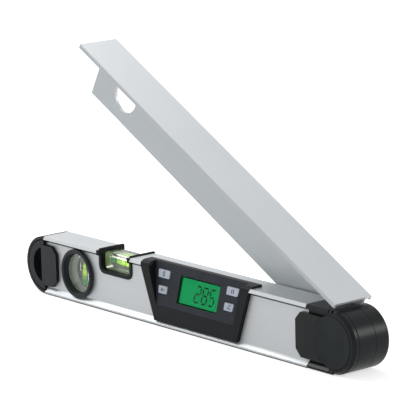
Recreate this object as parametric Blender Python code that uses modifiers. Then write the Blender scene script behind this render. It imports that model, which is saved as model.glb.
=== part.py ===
"""A folding digital angle finder: a 400 mm level body and an arm on one hinge.

World frame: +X runs along the body towards the hinge, +Y from the front to the
back, +Z up. The origin is the middle of the body's bottom measuring face.
Depths are measured from the front rails, lengths from the profile's left end.
"""

import math

import bmesh
import bpy
from mathutils import Matrix, Vector

MM = 0.001

# Body profile: length, section, walls, rails and recesses
PROFILE_LENGTH = 400 * MM
BODY_HEIGHT = 60 * MM
BODY_DEPTH = 34 * MM
PROFILE_WALL = 2 * MM
FRONT_RECESS = 4 * MM
REAR_RECESS = 2.5 * MM
EDGE_CHAMFER = 0.4 * MM
TOP_CHAMFER_DEPTH = 1.5 * MM
TOP_CHAMFER_HEIGHT = 2.8 * MM
UPPER_RAIL_HEIGHT = 3.3 * MM
RAIL_GROOVE_DEPTH = 0.9 * MM
RAIL_GROOVE_HEIGHT = 1.5 * MM
LOWER_RAIL_HEIGHT = 2.6 * MM
LOWER_SLOPE_TOP = 6.8 * MM
REAR_RAIL_HEIGHT = 6 * MM
REAR_SLOPE_HEIGHT = 2.5 * MM
HOLLOW_CORNER = 1.5 * MM

# Clearances that the whole part shares
FIT_GAP = 0.3 * MM
OVERRUN = 5 * MM
WELD_DISTANCE = 0.001 * MM
SEAM_DISTANCE = 0.004 * MM
SHARP_ANGLE = math.radians(32)
FLAT_ANGLE = math.radians(0.2)

# Facets of round shapes
LARGE_STEPS = 48
RING_STEPS = 36
SMALL_STEPS = 16
SCREW_STEPS = 10
EDGE_STEPS = 3
HEXAGON = 6
CORNER_STEPS = 3

# Left end cap
CAP_RELIEF = 0.3 * MM
CAP_EDGE = 1.2 * MM
CAP_PLUG_LENGTH = 18 * MM
TONGUE_LENGTH = 20 * MM
TONGUE_LOW = 9 * MM
TONGUE_CORNER_X = 7 * MM
TONGUE_CORNER_Z = 7.5 * MM
TONGUE_FRONT = 0.3 * MM
RIM_WIDTH = 4 * MM
RIM_GROOVE_WIDTH = 0.9 * MM
RIM_GROOVE_DEPTH = 1.4 * MM
SLOT_MARGIN = 11.4 * MM
SLOT_FLAT_X = 5 * MM
SLOT_EDGE = 2.2 * MM

# Plumb vial
PLUMB_TONGUE_GAP = 8.8 * MM
PLUMB_BEZEL_MARGIN = 5.1 * MM
PLUMB_BEZEL_PROUD = 0.4 * MM
PLUMB_RING_WIDTH = 3.9 * MM
PLUMB_SLEEVE_SETBACK = 2.4 * MM
PLUMB_SLEEVE_WALL = 2.5 * MM
PLUMB_GLASS_SETBACK = 5.6 * MM
PLUMB_BEZEL_EDGE = 1.3 * MM
VIAL_BORE_RADIUS = 5.4 * MM
PLUMB_BORE_FLOOR = 6.7 * MM
VIAL_PLUG_LENGTH = 2.5 * MM
BUBBLE_RADIUS = 3.4 * MM
BUBBLE_HALF_LENGTH = 5 * MM
VIAL_BULGE = 0.5 * MM

# Level vial, let into the top edge
LEVEL_PLUMB_GAP = 9.9 * MM
LEVEL_FRAME_WIDTH = 52.5 * MM
LEVEL_FRAME_DROP = 23 * MM
LEVEL_FRAME_CORNER = 7.5 * MM
LEVEL_FRAME_WALL = 3.5 * MM
LEVEL_FRAME_SETBACK = 3 * MM
LEVEL_FRAME_REAR_PROUD = 0.7 * MM
LEVEL_LIP_PROUD = 1.7 * MM
LEVEL_LIP_HEIGHT = 5 * MM
LEVEL_LIP_SETBACK = 2.6 * MM
LEVEL_LIP_EDGE = 1.3 * MM
LEVEL_BLOCK_WALL = 2.6 * MM
LEVEL_BLOCK_TOP_GAP = 1.5 * MM
LEVEL_BORE_MARGIN = 9.25 * MM
LEVEL_BUBBLE_HALF = 7 * MM

# Display bezel and its tilted panel
DISPLAY_PLACE_SHARE = 0.89326
BEZEL_BOTTOM = 5.1 * MM
BEZEL_BOTTOM_HALF = 61.2 * MM
BEZEL_SLOPE = 0.368
BEZEL_PROUD = 0.3 * MM
BEZEL_TOP_PROUD = 2 * MM
BEZEL_TOP_DEPTH = 16 * MM
BEZEL_CHAMFER_DROP = 3 * MM
BEZEL_SHOULDER_DEPTH = 1.4 * MM
BEZEL_SHOULDER_DROP = 0.2 * MM
BEZEL_LIP_DEPTH = 2.4 * MM
BEZEL_LIP_RISE = 0.3 * MM
BEZEL_BROW_DEPTH = 4 * MM
BEZEL_BROW_RISE = 1.2 * MM
BEZEL_CREST_DEPTH = 8 * MM
BEZEL_WALL = 2.2 * MM
BEZEL_SIDE_WALL = 5 * MM
PANEL_TILT = math.radians(15)
PANEL_RISE = 38.6 * MM
PANEL_FOOT_HALF = 57.5 * MM
PANEL_SLOPE = 0.30
PANEL_WALL = 2 * MM
CAVITY_FLOOR = 2.5 * MM
BEZEL_TOP_WALL = 4 * MM

# What shows on the panel, in panel coordinates: X from the display's middle, V up the slope
LCD_OFFSET_X = 1 * MM
LCD_WIDTH = 59 * MM
LCD_HEIGHT = 27.5 * MM
LCD_LOW_V = 5.75 * MM
LCD_WINDOW_THICKNESS = 1.4 * MM
LCD_MODULE_MARGIN = 3.5 * MM
LCD_MODULE_THICKNESS = 3 * MM
BUTTON_LEFT_INNER = 44.5 * MM
BUTTON_RIGHT_INNER = 41 * MM
UPPER_ROW_WIDTH = 17.6 * MM
LOWER_ROW_WIDTH = 13.6 * MM
BUTTON_SLANT = 1.5 * MM
UPPER_ROW_LOW = 26.6 * MM
UPPER_ROW_HEIGHT = 8 * MM
LOWER_ROW_LOW = 11.6 * MM
LOWER_ROW_HEIGHT = 7.5 * MM
BUTTON_CORNER = 1.2 * MM
BUTTON_PROUD = 0.9 * MM
BUTTON_FLANGE = 1 * MM
BUTTON_FLANGE_THICKNESS = 0.8 * MM
BUTTON_EDGE = 0.3 * MM

# Behind the panel
SWITCH_SIDE = 6 * MM
SWITCH_HEIGHT = 1.2 * MM
BOARD_THICKNESS = 1.6 * MM
BOARD_LOW_V = 2.5 * MM
BOARD_HIGH_V = 34 * MM
BOARD_LOW_HALF = 55 * MM
BOARD_HIGH_HALF = 64 * MM
BUZZER_RADIUS = 5 * MM
BUZZER_HEIGHT = 2.4 * MM
BUZZER_X = -38 * MM
BUZZER_V = 14 * MM
BACK_COVER_THICKNESS = 1.6 * MM
BACK_COVER_INSET = 2.9 * MM
BACK_COVER_DROP = 4 * MM
DISPLAY_SCREW_INSET = 9.9 * MM
DISPLAY_SCREW_DROP = 10 * MM
DISPLAY_SCREW_RADIUS = 1.1 * MM
DISPLAY_SCREW_LENGTH = 7 * MM

# Battery compartment, open to the rear
CELL_RADIUS = 7.2 * MM
CELL_LENGTH = 50.5 * MM
CELL_NUB_RADIUS = 2.6 * MM
CELL_NUB_LENGTH = 1.2 * MM
CELL_GAP = 0.8 * MM
CELL_END_ROOM = 4 * MM
HOLDER_WALL = 1.3 * MM
CONTACT_THICKNESS = 0.5 * MM
CONTACT_WIDTH = 9 * MM
CONTACT_SPRING_LENGTH = 2.2 * MM
CONTACT_SPRING_RADIUS = 3 * MM
DOOR_OVERLAP = 2.3 * MM
DOOR_END_OVERLAP = 1.75 * MM
DOOR_THICKNESS = 1.4 * MM
DOOR_EDGE_THICKNESS = 0.8 * MM
DOOR_LIP = 1.2 * MM
DOOR_RAIL_HEIGHT = 1.7 * MM
DOOR_RAIL_ROOM = 14 * MM
DOOR_RIB_COUNT = 5
DOOR_RIB_PITCH = 2.4 * MM
DOOR_RIB_LENGTH = 16 * MM
DOOR_RIB_RADIUS = 0.5 * MM
DOOR_RIB_X = 22 * MM

# Joint at the right end: hinge axis, drum, front cover
PIVOT_BLOCK = 3.9 * MM
HUB_RELIEF = 0.3 * MM
JOINT_PLUG_LENGTH = 18 * MM
COVER_DEPTH = 6.6 * MM
DRUM_SETBACK = 6.6 * MM
DRUM_EDGE = 0.6 * MM
HUB_CLEARANCE = 0.4 * MM
RIM_CHAMFER = 1.6 * MM
RIM_FACE = 2.2 * MM
JOINT_TONGUE_LENGTH = 15 * MM
JOINT_TONGUE_LOW = 8.6 * MM
HUB_DISC_MARGIN = 4.8 * MM
HUB_DISC_THICKNESS = 2.2 * MM
HUB_DISC_EDGE = 1.2 * MM
SLIT_X = 4 * MM
SLIT_WIDTH = 1.1 * MM
SLIT_DEPTH = 5 * MM
SLIT_LENGTH = 5 * MM

# Axle, washers, sensor
AXLE_RADIUS = 5 * MM
AXLE_HEAD_RADIUS = 9 * MM
AXLE_HEAD_THICKNESS = 2.6 * MM
AXLE_SOCKET_RADIUS = 3 * MM
AXLE_SOCKET_DEPTH = 1.6 * MM
DRUM_WALL = 4 * MM
DRUM_RIM_WALL = 7.7 * MM
LEDGE_WIDTH = 2.5 * MM
LEDGE_DEPTH = 4 * MM
SENSOR_THICKNESS = 1.6 * MM
SENSOR_BOSS_GAP = 2 * MM
ENCODER_THICKNESS = 1.2 * MM
ENCODER_MARGIN = 2 * MM
ENCODER_AIR_GAP = 0.8 * MM
BOSS_RADIUS = 9 * MM
BOSS_SHOULDER_WIDTH = 3 * MM
FRICTION_WASHER_MARGIN = 2.7 * MM
FRICTION_WASHER_WIDTH = 3.5 * MM
FRICTION_WASHER_THICKNESS = 1 * MM
NUT_POCKET_GAP = 0.9 * MM
NUT_ACROSS_CORNERS = 15 * MM
NUT_THICKNESS = 3.6 * MM
SPRING_WASHER_RADIUS = 9.6 * MM
SPRING_WASHER_THICKNESS = 1 * MM
AXLE_END_LENGTH = 0.4 * MM

# Arm: opening at rest, flange, lips, web, viewing hole
ARM_OPEN_AT_REST = math.radians(28.5)
ARM_START = 12.5 * MM
ARM_TIP_SETBACK = 6.1 * MM
ARM_CLOSED_GAP = 0.7 * MM
FLANGE_THICKNESS = 2.4 * MM
FLANGE_LIP_HEIGHT = 4.4 * MM
FLANGE_LIP_THICKNESS = 2 * MM
FLANGE_EDGE = 0.7 * MM
WEB_SIDE_GAP = 0.9 * MM
WEB_THICKNESS = 3 * MM
WEB_EDGE_MARGIN = 0.7 * MM
WEB_END_MARGIN = 5.7 * MM
VIEW_HOLE_MARGIN = 2.8 * MM

# Arm hub
ARM_HUB_BACK = 10.1 * MM
HUB_CORE_WALL = 3.2 * MM
ARM_HUB_EDGE = 3 * MM
HUB_SCREW_COUNT = 3
HUB_SCREW_LAND = 4.5 * MM
HUB_SCREW_RADIUS = 1.6 * MM
HUB_SCREW_HEAD = 3 * MM
HUB_SCREW_HEAD_HEIGHT = 1.8 * MM
HUB_SCREW_LENGTH = 8 * MM
HUB_SCREW_START = math.radians(90)

# Screws through the profile's rear wall into the two plugs, and in the front cover
PLUG_SCREW_INSET = 12 * MM
PLUG_SCREW_MARGIN = 14 * MM
PLUG_SCREW_RADIUS = 1.5 * MM
PLUG_SCREW_HEAD = 2.8 * MM
PLUG_SCREW_HEAD_HEIGHT = 1.6 * MM
PLUG_SCREW_LENGTH = 8 * MM
COVER_SCREW_COUNT = 3
COVER_SCREW_LAND = 8 * MM
COVER_SCREW_RADIUS = 1.3 * MM
COVER_SCREW_HEAD = 2.5 * MM
COVER_SCREW_HEAD_HEIGHT = 1.4 * MM
COVER_SCREW_LENGTH = 6 * MM
COVER_SCREW_START = math.radians(90)

# The body's planes
LEFT_END = -PROFILE_LENGTH / 2
RIGHT_END = PROFILE_LENGTH / 2
FRONT = -BODY_DEPTH / 2
REAR = BODY_DEPTH / 2
MIDDLE_Z = BODY_HEIGHT / 2
FRONT_FACE = FRONT + FRONT_RECESS
REAR_FACE = REAR - REAR_RECESS
HOLLOW_FRONT = FRONT_FACE + PROFILE_WALL
HOLLOW_REAR = REAR_FACE - PROFILE_WALL

# Radii that follow the body's height
SLOT_RADIUS = MIDDLE_Z - SLOT_MARGIN
PLUMB_BEZEL_RADIUS = MIDDLE_Z - PLUMB_BEZEL_MARGIN
PLUMB_LIP_RADIUS = PLUMB_BEZEL_RADIUS - PLUMB_RING_WIDTH
PLUMB_SLEEVE_RADIUS = PLUMB_BEZEL_RADIUS - PLUMB_SLEEVE_SETBACK
PLUMB_GLASS_RADIUS = PLUMB_SLEEVE_RADIUS - PLUMB_SLEEVE_WALL - FIT_GAP
PLUMB_BORE_HALF = PLUMB_GLASS_RADIUS - PLUMB_BORE_FLOOR
VIEW_HOLE_RADIUS = PLUMB_GLASS_RADIUS - VIEW_HOLE_MARGIN
HUB_RADIUS = MIDDLE_Z - HUB_RELIEF
HUB_DISC_RADIUS = HUB_RADIUS - HUB_DISC_MARGIN
CAVITY_RADIUS = HUB_RADIUS - DRUM_RIM_WALL
LEDGE_RADIUS = CAVITY_RADIUS - LEDGE_WIDTH
ENCODER_RADIUS = CAVITY_RADIUS - ENCODER_MARGIN
FRICTION_WASHER_OUTER = HUB_RADIUS - FRICTION_WASHER_MARGIN
FRICTION_WASHER_INNER = FRICTION_WASHER_OUTER - FRICTION_WASHER_WIDTH
WEB_END_RADIUS = HUB_RADIUS - WEB_END_MARGIN
WEB_LOW = HUB_RADIUS - WEB_EDGE_MARGIN
COVER_SCREW_CIRCLE = AXLE_HEAD_RADIUS + COVER_SCREW_LAND

# Radii that follow the axle
SENSOR_HOLE_RADIUS = BOSS_RADIUS + SENSOR_BOSS_GAP
BOSS_SHOULDER_RADIUS = BOSS_RADIUS + BOSS_SHOULDER_WIDTH
NUT_POCKET_RADIUS = SPRING_WASHER_RADIUS + NUT_POCKET_GAP
WEB_AXLE_HOLE = NUT_POCKET_RADIUS + HUB_CORE_WALL + FIT_GAP
HUB_SCREW_CIRCLE = WEB_AXLE_HOLE + HUB_SCREW_LAND

# Depths from the front rails
DRUM_FRONT = COVER_DEPTH + HUB_CLEARANCE
DRUM_REAR = BODY_DEPTH - DRUM_SETBACK
WEB_FRONT = BODY_DEPTH + WEB_SIDE_GAP
ARM_HUB_FRONT = DRUM_REAR + HUB_CLEARANCE
ARM_HUB_REAR = WEB_FRONT + ARM_HUB_BACK
FLANGE_DEPTH = ARM_HUB_REAR + FIT_GAP

# Heights
LEVEL_FRAME_BOTTOM = BODY_HEIGHT - LEVEL_FRAME_DROP
BEZEL_CHAMFER_Z = BODY_HEIGHT - BEZEL_CHAMFER_DROP
BEZEL_SHOULDER_Z = BODY_HEIGHT - BEZEL_SHOULDER_DROP
BEZEL_LIP_Z = BODY_HEIGHT + BEZEL_LIP_RISE
BEZEL_BROW_Z = BODY_HEIGHT + BEZEL_BROW_RISE
BEZEL_TOP_Z = BODY_HEIGHT + BEZEL_TOP_PROUD
LCD_MIDDLE_V = LCD_LOW_V + LCD_HEIGHT / 2
PANEL_FOOT_Z = BODY_HEIGHT - PANEL_RISE
CAVITY_LOW = BEZEL_BOTTOM + CAVITY_FLOOR
CAVITY_HIGH = BEZEL_TOP_Z - BEZEL_TOP_WALL
BACK_COVER_LOW = BEZEL_BOTTOM + BACK_COVER_INSET
BACK_COVER_HIGH = BODY_HEIGHT - BACK_COVER_DROP
DISPLAY_SCREW_LOW = BEZEL_BOTTOM + DISPLAY_SCREW_INSET
DISPLAY_SCREW_HIGH = BODY_HEIGHT - DISPLAY_SCREW_DROP
PLUG_SCREW_HEIGHT = MIDDLE_Z - PLUG_SCREW_MARGIN

# Battery bay: half sizes of its inside, of its holder and of the door
BAY_HALF_LENGTH = CELL_LENGTH / 2 + CELL_END_ROOM
BAY_HALF_HEIGHT = 2 * CELL_RADIUS + CELL_GAP
HOLDER_HALF_LENGTH = BAY_HALF_LENGTH + HOLDER_WALL
HOLDER_HALF_HEIGHT = BAY_HALF_HEIGHT + HOLDER_WALL
DOOR_HEIGHT = 2 * (BAY_HALF_HEIGHT + DOOR_OVERLAP)
DOOR_LENGTH = 2 * (BAY_HALF_LENGTH + DOOR_END_OVERLAP)
DOOR_RAIL_LENGTH = DOOR_LENGTH + DOOR_RAIL_ROOM

# Lengths from the profile's left end
PIVOT_OVERHANG = HUB_RADIUS + 2 * HUB_CLEARANCE + PIVOT_BLOCK
PIVOT_X = RIGHT_END + PIVOT_OVERHANG
ARM_END = PROFILE_LENGTH + PIVOT_OVERHANG - ARM_TIP_SETBACK
PLUMB_VIAL_X = TONGUE_LENGTH + PLUMB_TONGUE_GAP + PLUMB_BEZEL_RADIUS
LEVEL_VIAL_X = PLUMB_VIAL_X + PLUMB_BEZEL_RADIUS + LEVEL_PLUMB_GAP + LEVEL_FRAME_WIDTH / 2
LEVEL_BORE_HALF = LEVEL_FRAME_WIDTH / 2 - LEVEL_BORE_MARGIN
BATTERY_X = PROFILE_LENGTH - JOINT_PLUG_LENGTH - DOOR_LENGTH / 2 - FIT_GAP - DOOR_RAIL_HEIGHT
DISPLAY_TOP_HALF = BEZEL_BOTTOM_HALF + BEZEL_SLOPE * (BEZEL_TOP_Z - BEZEL_BOTTOM)
DISPLAY_BAY_HALF = BEZEL_BOTTOM_HALF + BEZEL_SLOPE * (MIDDLE_Z + HOLDER_HALF_HEIGHT - BEZEL_BOTTOM)
DISPLAY_START = LEVEL_VIAL_X + LEVEL_FRAME_WIDTH / 2 + DISPLAY_TOP_HALF
DISPLAY_END = BATTERY_X - HOLDER_HALF_LENGTH - DISPLAY_BAY_HALF
DISPLAY_X = DISPLAY_START + DISPLAY_PLACE_SHARE * (DISPLAY_END - DISPLAY_START)

# Colours as linear RGB, roughness and metallic value
FINISHES = {
    "anodised": ((0.60, 0.64, 0.66), 0.38, 0.85),
    "black_plastic": ((0.022, 0.026, 0.030), 0.50, 0.0),
    "panel_plastic": ((0.045, 0.051, 0.061), 0.55, 0.0),
    "button_grey": ((0.58, 0.63, 0.72), 0.45, 0.0),
    "clear_acrylic": ((0.80, 0.88, 0.82), 0.05, 0.0),
    "vial_fluid": ((0.45, 0.85, 0.05), 0.10, 0.0),
    "lcd_green": ((0.003, 0.33, 0.08), 0.25, 0.0),
    "steel": ((0.55, 0.55, 0.55), 0.30, 1.0),
    "board_green": ((0.02, 0.16, 0.06), 0.45, 0.0),
    "cell_wrap": ((0.05, 0.05, 0.06), 0.35, 0.3),
    "nylon": ((0.70, 0.68, 0.62), 0.50, 0.0),
}


def at_length(length):
    """World X of a place measured from the profile's left end."""
    return LEFT_END + length


def clear_scene():
    """Remove what the scene holds before the model is made."""
    for old in list(bpy.data.objects):
        bpy.data.objects.remove(old, do_unlink=True)


def make_collection(name):
    """Make a collection under the scene's own."""
    group = bpy.data.collections.new(name)
    bpy.context.scene.collection.children.link(group)
    return group


def make_finish(name):
    """Make or reuse the material of a named finish."""
    material = bpy.data.materials.get(name)
    if material is None:
        colour, roughness, metallic = FINISHES[name]
        material = bpy.data.materials.new(name)
        material.use_nodes = True
        shader = material.node_tree.nodes["Principled BSDF"]
        shader.inputs["Base Color"].default_value = (*colour, 1.0)
        shader.inputs["Roughness"].default_value = roughness
        shader.inputs["Metallic"].default_value = metallic
    return material


def panel_matrix():
    """Panel frame: local X along the body, local Y up the slope, local Z out of the panel."""
    up = Vector((0, math.sin(PANEL_TILT), math.cos(PANEL_TILT)))
    out = Vector((0, -math.cos(PANEL_TILT), math.sin(PANEL_TILT)))
    place = Matrix.Identity(4)
    for row in range(3):
        place[row][0] = (1, 0, 0)[row]
        place[row][1] = up[row]
        place[row][2] = out[row]
    return Matrix.Translation((at_length(DISPLAY_X), FRONT, PANEL_FOOT_Z)) @ place


class Workshop:
    """Makes the solids and keeps the pieces apart from the cutters."""

    def __init__(self):
        """Make the two collections and the empties that carry the pieces."""
        self.pieces = make_collection("angle_finder")
        self.helpers = make_collection("cutters")
        self.body = self.add_empty("body", Matrix.Identity(4))
        turn = Matrix.Rotation(ARM_OPEN_AT_REST, 4, "Y")
        self.arm = self.add_empty("arm_pivot", Matrix.Translation((PIVOT_X, 0, MIDDLE_Z)) @ turn)

    def add_empty(self, name, place):
        """Add an empty that pieces hang on."""
        empty = bpy.data.objects.new(name, None)
        self.pieces.objects.link(empty)
        empty.matrix_world = place
        return empty

    def add(self, name, mesh, place, carrier):
        """Add a mesh as a helper object under its carrier."""
        thing = bpy.data.objects.new(name, mesh)
        self.helpers.objects.link(thing)
        thing.parent = carrier
        thing.matrix_basis = place
        thing.hide_render = True
        thing.display_type = "WIRE"
        return thing

    def finish(self, thing, name, look):
        """Turn a helper into a piece of the product with its name and finish."""
        graph = bpy.context.evaluated_depsgraph_get()
        mesh = bpy.data.meshes.new_from_object(thing.evaluated_get(graph))
        weld(mesh, SEAM_DISTANCE, FLAT_ANGLE)
        mesh.shade_smooth()
        mesh.set_sharp_from_angle(angle=SHARP_ANGLE)
        thing.modifiers.clear()
        thing.data = mesh
        self.helpers.objects.unlink(thing)
        self.pieces.objects.link(thing)
        thing.name = name
        thing.hide_render = False
        thing.display_type = "TEXTURED"
        thing.data.materials.clear()
        thing.data.materials.append(make_finish(look))
        return thing

    def slab(self, outline, low, high, along="Y", carrier=None, holes=()):
        """Extrude a flat outline, with its holes, from low to high along an axis.

        Along Y the outline is (x, z), along X it is (y, z), along Z it is (x, y). In the
        panel's frame it is (x, v), and low and high are heights out of the panel.
        """
        curve = bpy.data.curves.new("outline", "CURVE")
        curve.dimensions = "2D"
        curve.fill_mode = "BOTH"
        curve.extrude = (high - low) / 2
        for loop in (outline, *holes):
            spline = curve.splines.new("POLY")
            spline.points.add(len(loop) - 1)
            for point, (a, b) in zip(spline.points, loop):
                point.co = (a, b, 0, 1)
            spline.use_cyclic_u = True
        drawn = bpy.data.objects.new("outline", curve)
        self.helpers.objects.link(drawn)
        graph = bpy.context.evaluated_depsgraph_get()
        mesh = bpy.data.meshes.new_from_object(drawn.evaluated_get(graph))
        bpy.data.objects.remove(drawn, do_unlink=True)
        weld(mesh)
        middle = (high + low) / 2
        if along == "Y":
            turn = Matrix.Rotation(math.radians(90), 4, "X")
            move = turn @ Matrix.Translation((0, 0, -middle))
        elif along == "X":
            turn = Matrix(((0, 0, 1, 0), (1, 0, 0, 0), (0, 1, 0, 0), (0, 0, 0, 1)))
            move = turn @ Matrix.Translation((0, 0, middle))
        elif along == "panel":
            move = panel_matrix() @ Matrix.Translation((0, 0, middle))
        else:
            move = Matrix.Translation((0, 0, middle))
        return self.add("slab", mesh, move, carrier or self.body)

    def turned(self, profile, x, z, steps=LARGE_STEPS, carrier=None, place=None):
        """Turn a profile of (radius, y) about an axis along Y through x, z.

        The profile runs down its outer side, from the rear to the front.
        """
        mesh = bpy.data.meshes.new("turned")
        edges = [(i, i + 1) for i in range(len(profile) - 1)]
        if min(radius for radius, _ in (profile[0], profile[-1])) > 0:
            edges.append((len(profile) - 1, 0))
        mesh.from_pydata([(radius, 0, y) for radius, y in profile], edges, [])
        if place is None:
            place = Matrix.Translation((x, 0, z)) @ Matrix.Rotation(math.radians(-90), 4, "X")
        thing = self.add("turned", mesh, place, carrier or self.body)
        screw = thing.modifiers.new("turn", "SCREW")
        screw.axis = "Z"
        screw.steps = steps
        screw.render_steps = steps
        screw.use_merge_vertices = True
        screw.merge_threshold = WELD_DISTANCE
        screw.use_smooth_shade = False
        return thing

    def rod(self, radius, low, high, x, z, steps=SMALL_STEPS, carrier=None):
        """A plain cylinder along Y."""
        work = bmesh.new()
        bmesh.ops.create_cone(work, cap_ends=True, segments=steps, radius1=radius, radius2=radius,
                              depth=high - low)
        mesh = bpy.data.meshes.new("rod")
        work.to_mesh(mesh)
        work.free()
        place = Matrix.Translation((x, (low + high) / 2, z)) @ Matrix.Rotation(math.radians(-90), 4, "X")
        return self.add("rod", mesh, place, carrier or self.body)

    def box(self, x_range, y_range, z_range, carrier=None):
        """A box between three pairs of limits."""
        ranges = (x_range, y_range, z_range)
        work = bmesh.new()
        bmesh.ops.create_cube(work, size=1)
        bmesh.ops.scale(work, vec=[high - low for low, high in ranges], verts=work.verts)
        mesh = bpy.data.meshes.new("box")
        work.to_mesh(mesh)
        work.free()
        place = Matrix.Translation([(low + high) / 2 for low, high in ranges])
        return self.add("box", mesh, place, carrier or self.body)

    def combine(self, target, others, operation, solver):
        """Cut, join or intersect the target with helpers."""
        for other in others:
            change = target.modifiers.new(operation.lower(), "BOOLEAN")
            change.operation = operation
            change.solver = solver
            change.object = other
        return target

    def cut(self, target, *others, solver="EXACT"):
        """Take helpers away from the target."""
        return self.combine(target, others, "DIFFERENCE", solver)

    def join(self, target, *others, solver="EXACT"):
        """Join helpers to the target."""
        return self.combine(target, others, "UNION", solver)

    def common(self, target, *others, solver="EXACT"):
        """Keep what the target shares with helpers."""
        return self.combine(target, others, "INTERSECT", solver)


def weld(mesh, distance=WELD_DISTANCE, flat_angle=0.0):
    """Merge vertices that meet, join faces that are flat to each other, and face them outwards."""
    work = bmesh.new()
    work.from_mesh(mesh)
    bmesh.ops.remove_doubles(work, verts=work.verts, dist=distance)
    if flat_angle > 0:
        bmesh.ops.dissolve_limit(work, angle_limit=flat_angle, verts=work.verts, edges=work.edges)
    bmesh.ops.recalc_face_normals(work, faces=work.faces)
    work.to_mesh(mesh)
    work.free()


def soften(thing, width, segments=2, angle=math.radians(40)):
    """Round the sharp edges of a solid."""
    bevel = thing.modifiers.new("soften", "BEVEL")
    bevel.width = width
    bevel.segments = segments
    bevel.limit_method = "ANGLE"
    bevel.angle_limit = angle
    return thing


def arc(x, z, radius, start, end, steps):
    """Points of an arc, angles in radians from +X towards +Z."""
    span = end - start
    return [
        (x + radius * math.cos(start + span * i / steps), z + radius * math.sin(start + span * i / steps))
        for i in range(steps + 1)
    ]


def circle(x, z, radius, steps):
    """A closed circle as an outline."""
    return arc(x, z, radius, 0, 2 * math.pi, steps)[:-1]


def rounded(corners, radius, steps=CORNER_STEPS):
    """Round the corners of a convex outline that runs anticlockwise."""
    points = []
    count = len(corners)
    for i in range(count):
        before, here, after = (Vector(corners[(i + k) % count]) for k in (-1, 0, 1))
        back, ahead = (before - here).normalized(), (after - here).normalized()
        half = back.angle(ahead) / 2
        centre = here + (back + ahead).normalized() * radius / math.sin(half)
        first = here + back * radius / math.tan(half)
        start = math.atan2(first.y - centre.y, first.x - centre.x)
        sweep = math.pi - 2 * half
        points += arc(centre.x, centre.y, radius, start, start + sweep, steps)
    return points


def trapezoid(x, low, high, low_half, high_half):
    """A symmetric trapezoid, wider or narrower at its top."""
    return [(x - low_half, low), (x + low_half, low), (x + high_half, high), (x - high_half, high)]


def bezel_half(z, wall=0.0):
    """Half the width of the display bezel at a height, less a wall."""
    return BEZEL_BOTTOM_HALF + BEZEL_SLOPE * (z - BEZEL_BOTTOM) - wall


def section():
    """Outer outline of the body profile, as (y, z), anticlockwise from the lower front."""
    groove_top = BODY_HEIGHT - UPPER_RAIL_HEIGHT
    groove_low = groove_top - RAIL_GROOVE_HEIGHT
    chamfer_low = BODY_HEIGHT - TOP_CHAMFER_HEIGHT
    rear_top = BODY_HEIGHT - REAR_RAIL_HEIGHT
    return [
        (FRONT + EDGE_CHAMFER, 0),
        (REAR - EDGE_CHAMFER, 0),
        (REAR, EDGE_CHAMFER),
        (REAR, REAR_RAIL_HEIGHT),
        (REAR_FACE, REAR_RAIL_HEIGHT + REAR_SLOPE_HEIGHT),
        (REAR_FACE, rear_top - REAR_SLOPE_HEIGHT),
        (REAR, rear_top),
        (REAR, chamfer_low),
        (REAR - TOP_CHAMFER_DEPTH, BODY_HEIGHT),
        (FRONT + TOP_CHAMFER_DEPTH, BODY_HEIGHT),
        (FRONT, chamfer_low),
        (FRONT, groove_top),
        (FRONT_FACE + RAIL_GROOVE_DEPTH, groove_top),
        (FRONT_FACE + RAIL_GROOVE_DEPTH, groove_low),
        (FRONT_FACE, groove_low),
        (FRONT_FACE, LOWER_SLOPE_TOP),
        (FRONT, LOWER_RAIL_HEIGHT),
        (FRONT, EDGE_CHAMFER),
    ]


def hollow_outline(gap=0.0):
    """Inner outline of the profile, or of a plug that clears it by a gap."""
    low, high = PROFILE_WALL + gap, BODY_HEIGHT - PROFILE_WALL - gap
    front, rear = HOLLOW_FRONT + gap, HOLLOW_REAR - gap
    return rounded([(front, low), (rear, low), (rear, high), (front, high)], HOLLOW_CORNER)


def level_frame_outline(gap=0.0, top=BODY_HEIGHT):
    """U-shaped outline that holds the level vial, grown by a gap, up to a top."""
    x = at_length(LEVEL_VIAL_X)
    half = LEVEL_FRAME_WIDTH / 2 + gap
    radius = LEVEL_FRAME_CORNER + gap
    low = LEVEL_FRAME_BOTTOM - gap
    quarter = math.pi / 2
    left = arc(x - half + radius, low + radius, radius, 2 * quarter, 3 * quarter, CORNER_STEPS)
    right = arc(x + half - radius, low + radius, radius, -quarter, 0, CORNER_STEPS)
    return left + right + [(x + half, top), (x - half, top)]


def bezel_outline(gap=0.0, low=BEZEL_BOTTOM, high=BEZEL_TOP_Z):
    """Front outline of the display bezel, grown by a gap."""
    x = at_length(DISPLAY_X)
    return trapezoid(x, low - gap, high + gap, bezel_half(low - gap) + gap, bezel_half(high + gap) + gap)


def button_places():
    """Name, inner X edge, outer X edges (low, high), low V and high V of each button."""
    upper = (UPPER_ROW_LOW, UPPER_ROW_LOW + UPPER_ROW_HEIGHT, UPPER_ROW_WIDTH)
    lower = (LOWER_ROW_LOW, LOWER_ROW_LOW + LOWER_ROW_HEIGHT, LOWER_ROW_WIDTH)
    columns = ((-1, BUTTON_LEFT_INNER), (1, BUTTON_RIGHT_INNER))
    names = ("button_zero", "button_sound", "button_hold", "button_reference")
    places = []
    for side, inner in columns:
        for low, high, width in (upper, lower):
            name = names[len(places)]
            places.append((name, side * inner, side * (inner + width), side, low, high))
    return places


def button_outline(inner, outer, side, low, high, gap=0.0):
    """Outline of a button, slanted on its outer side, grown by a gap."""
    slant = side * BUTTON_SLANT
    near, far = inner - side * gap, outer + side * gap
    corners = [(near, low - gap), (far - slant, low - gap), (far, high + gap), (near, high + gap)]
    if side < 0:
        corners.reverse()
    return rounded(corners, BUTTON_CORNER + gap)


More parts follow.
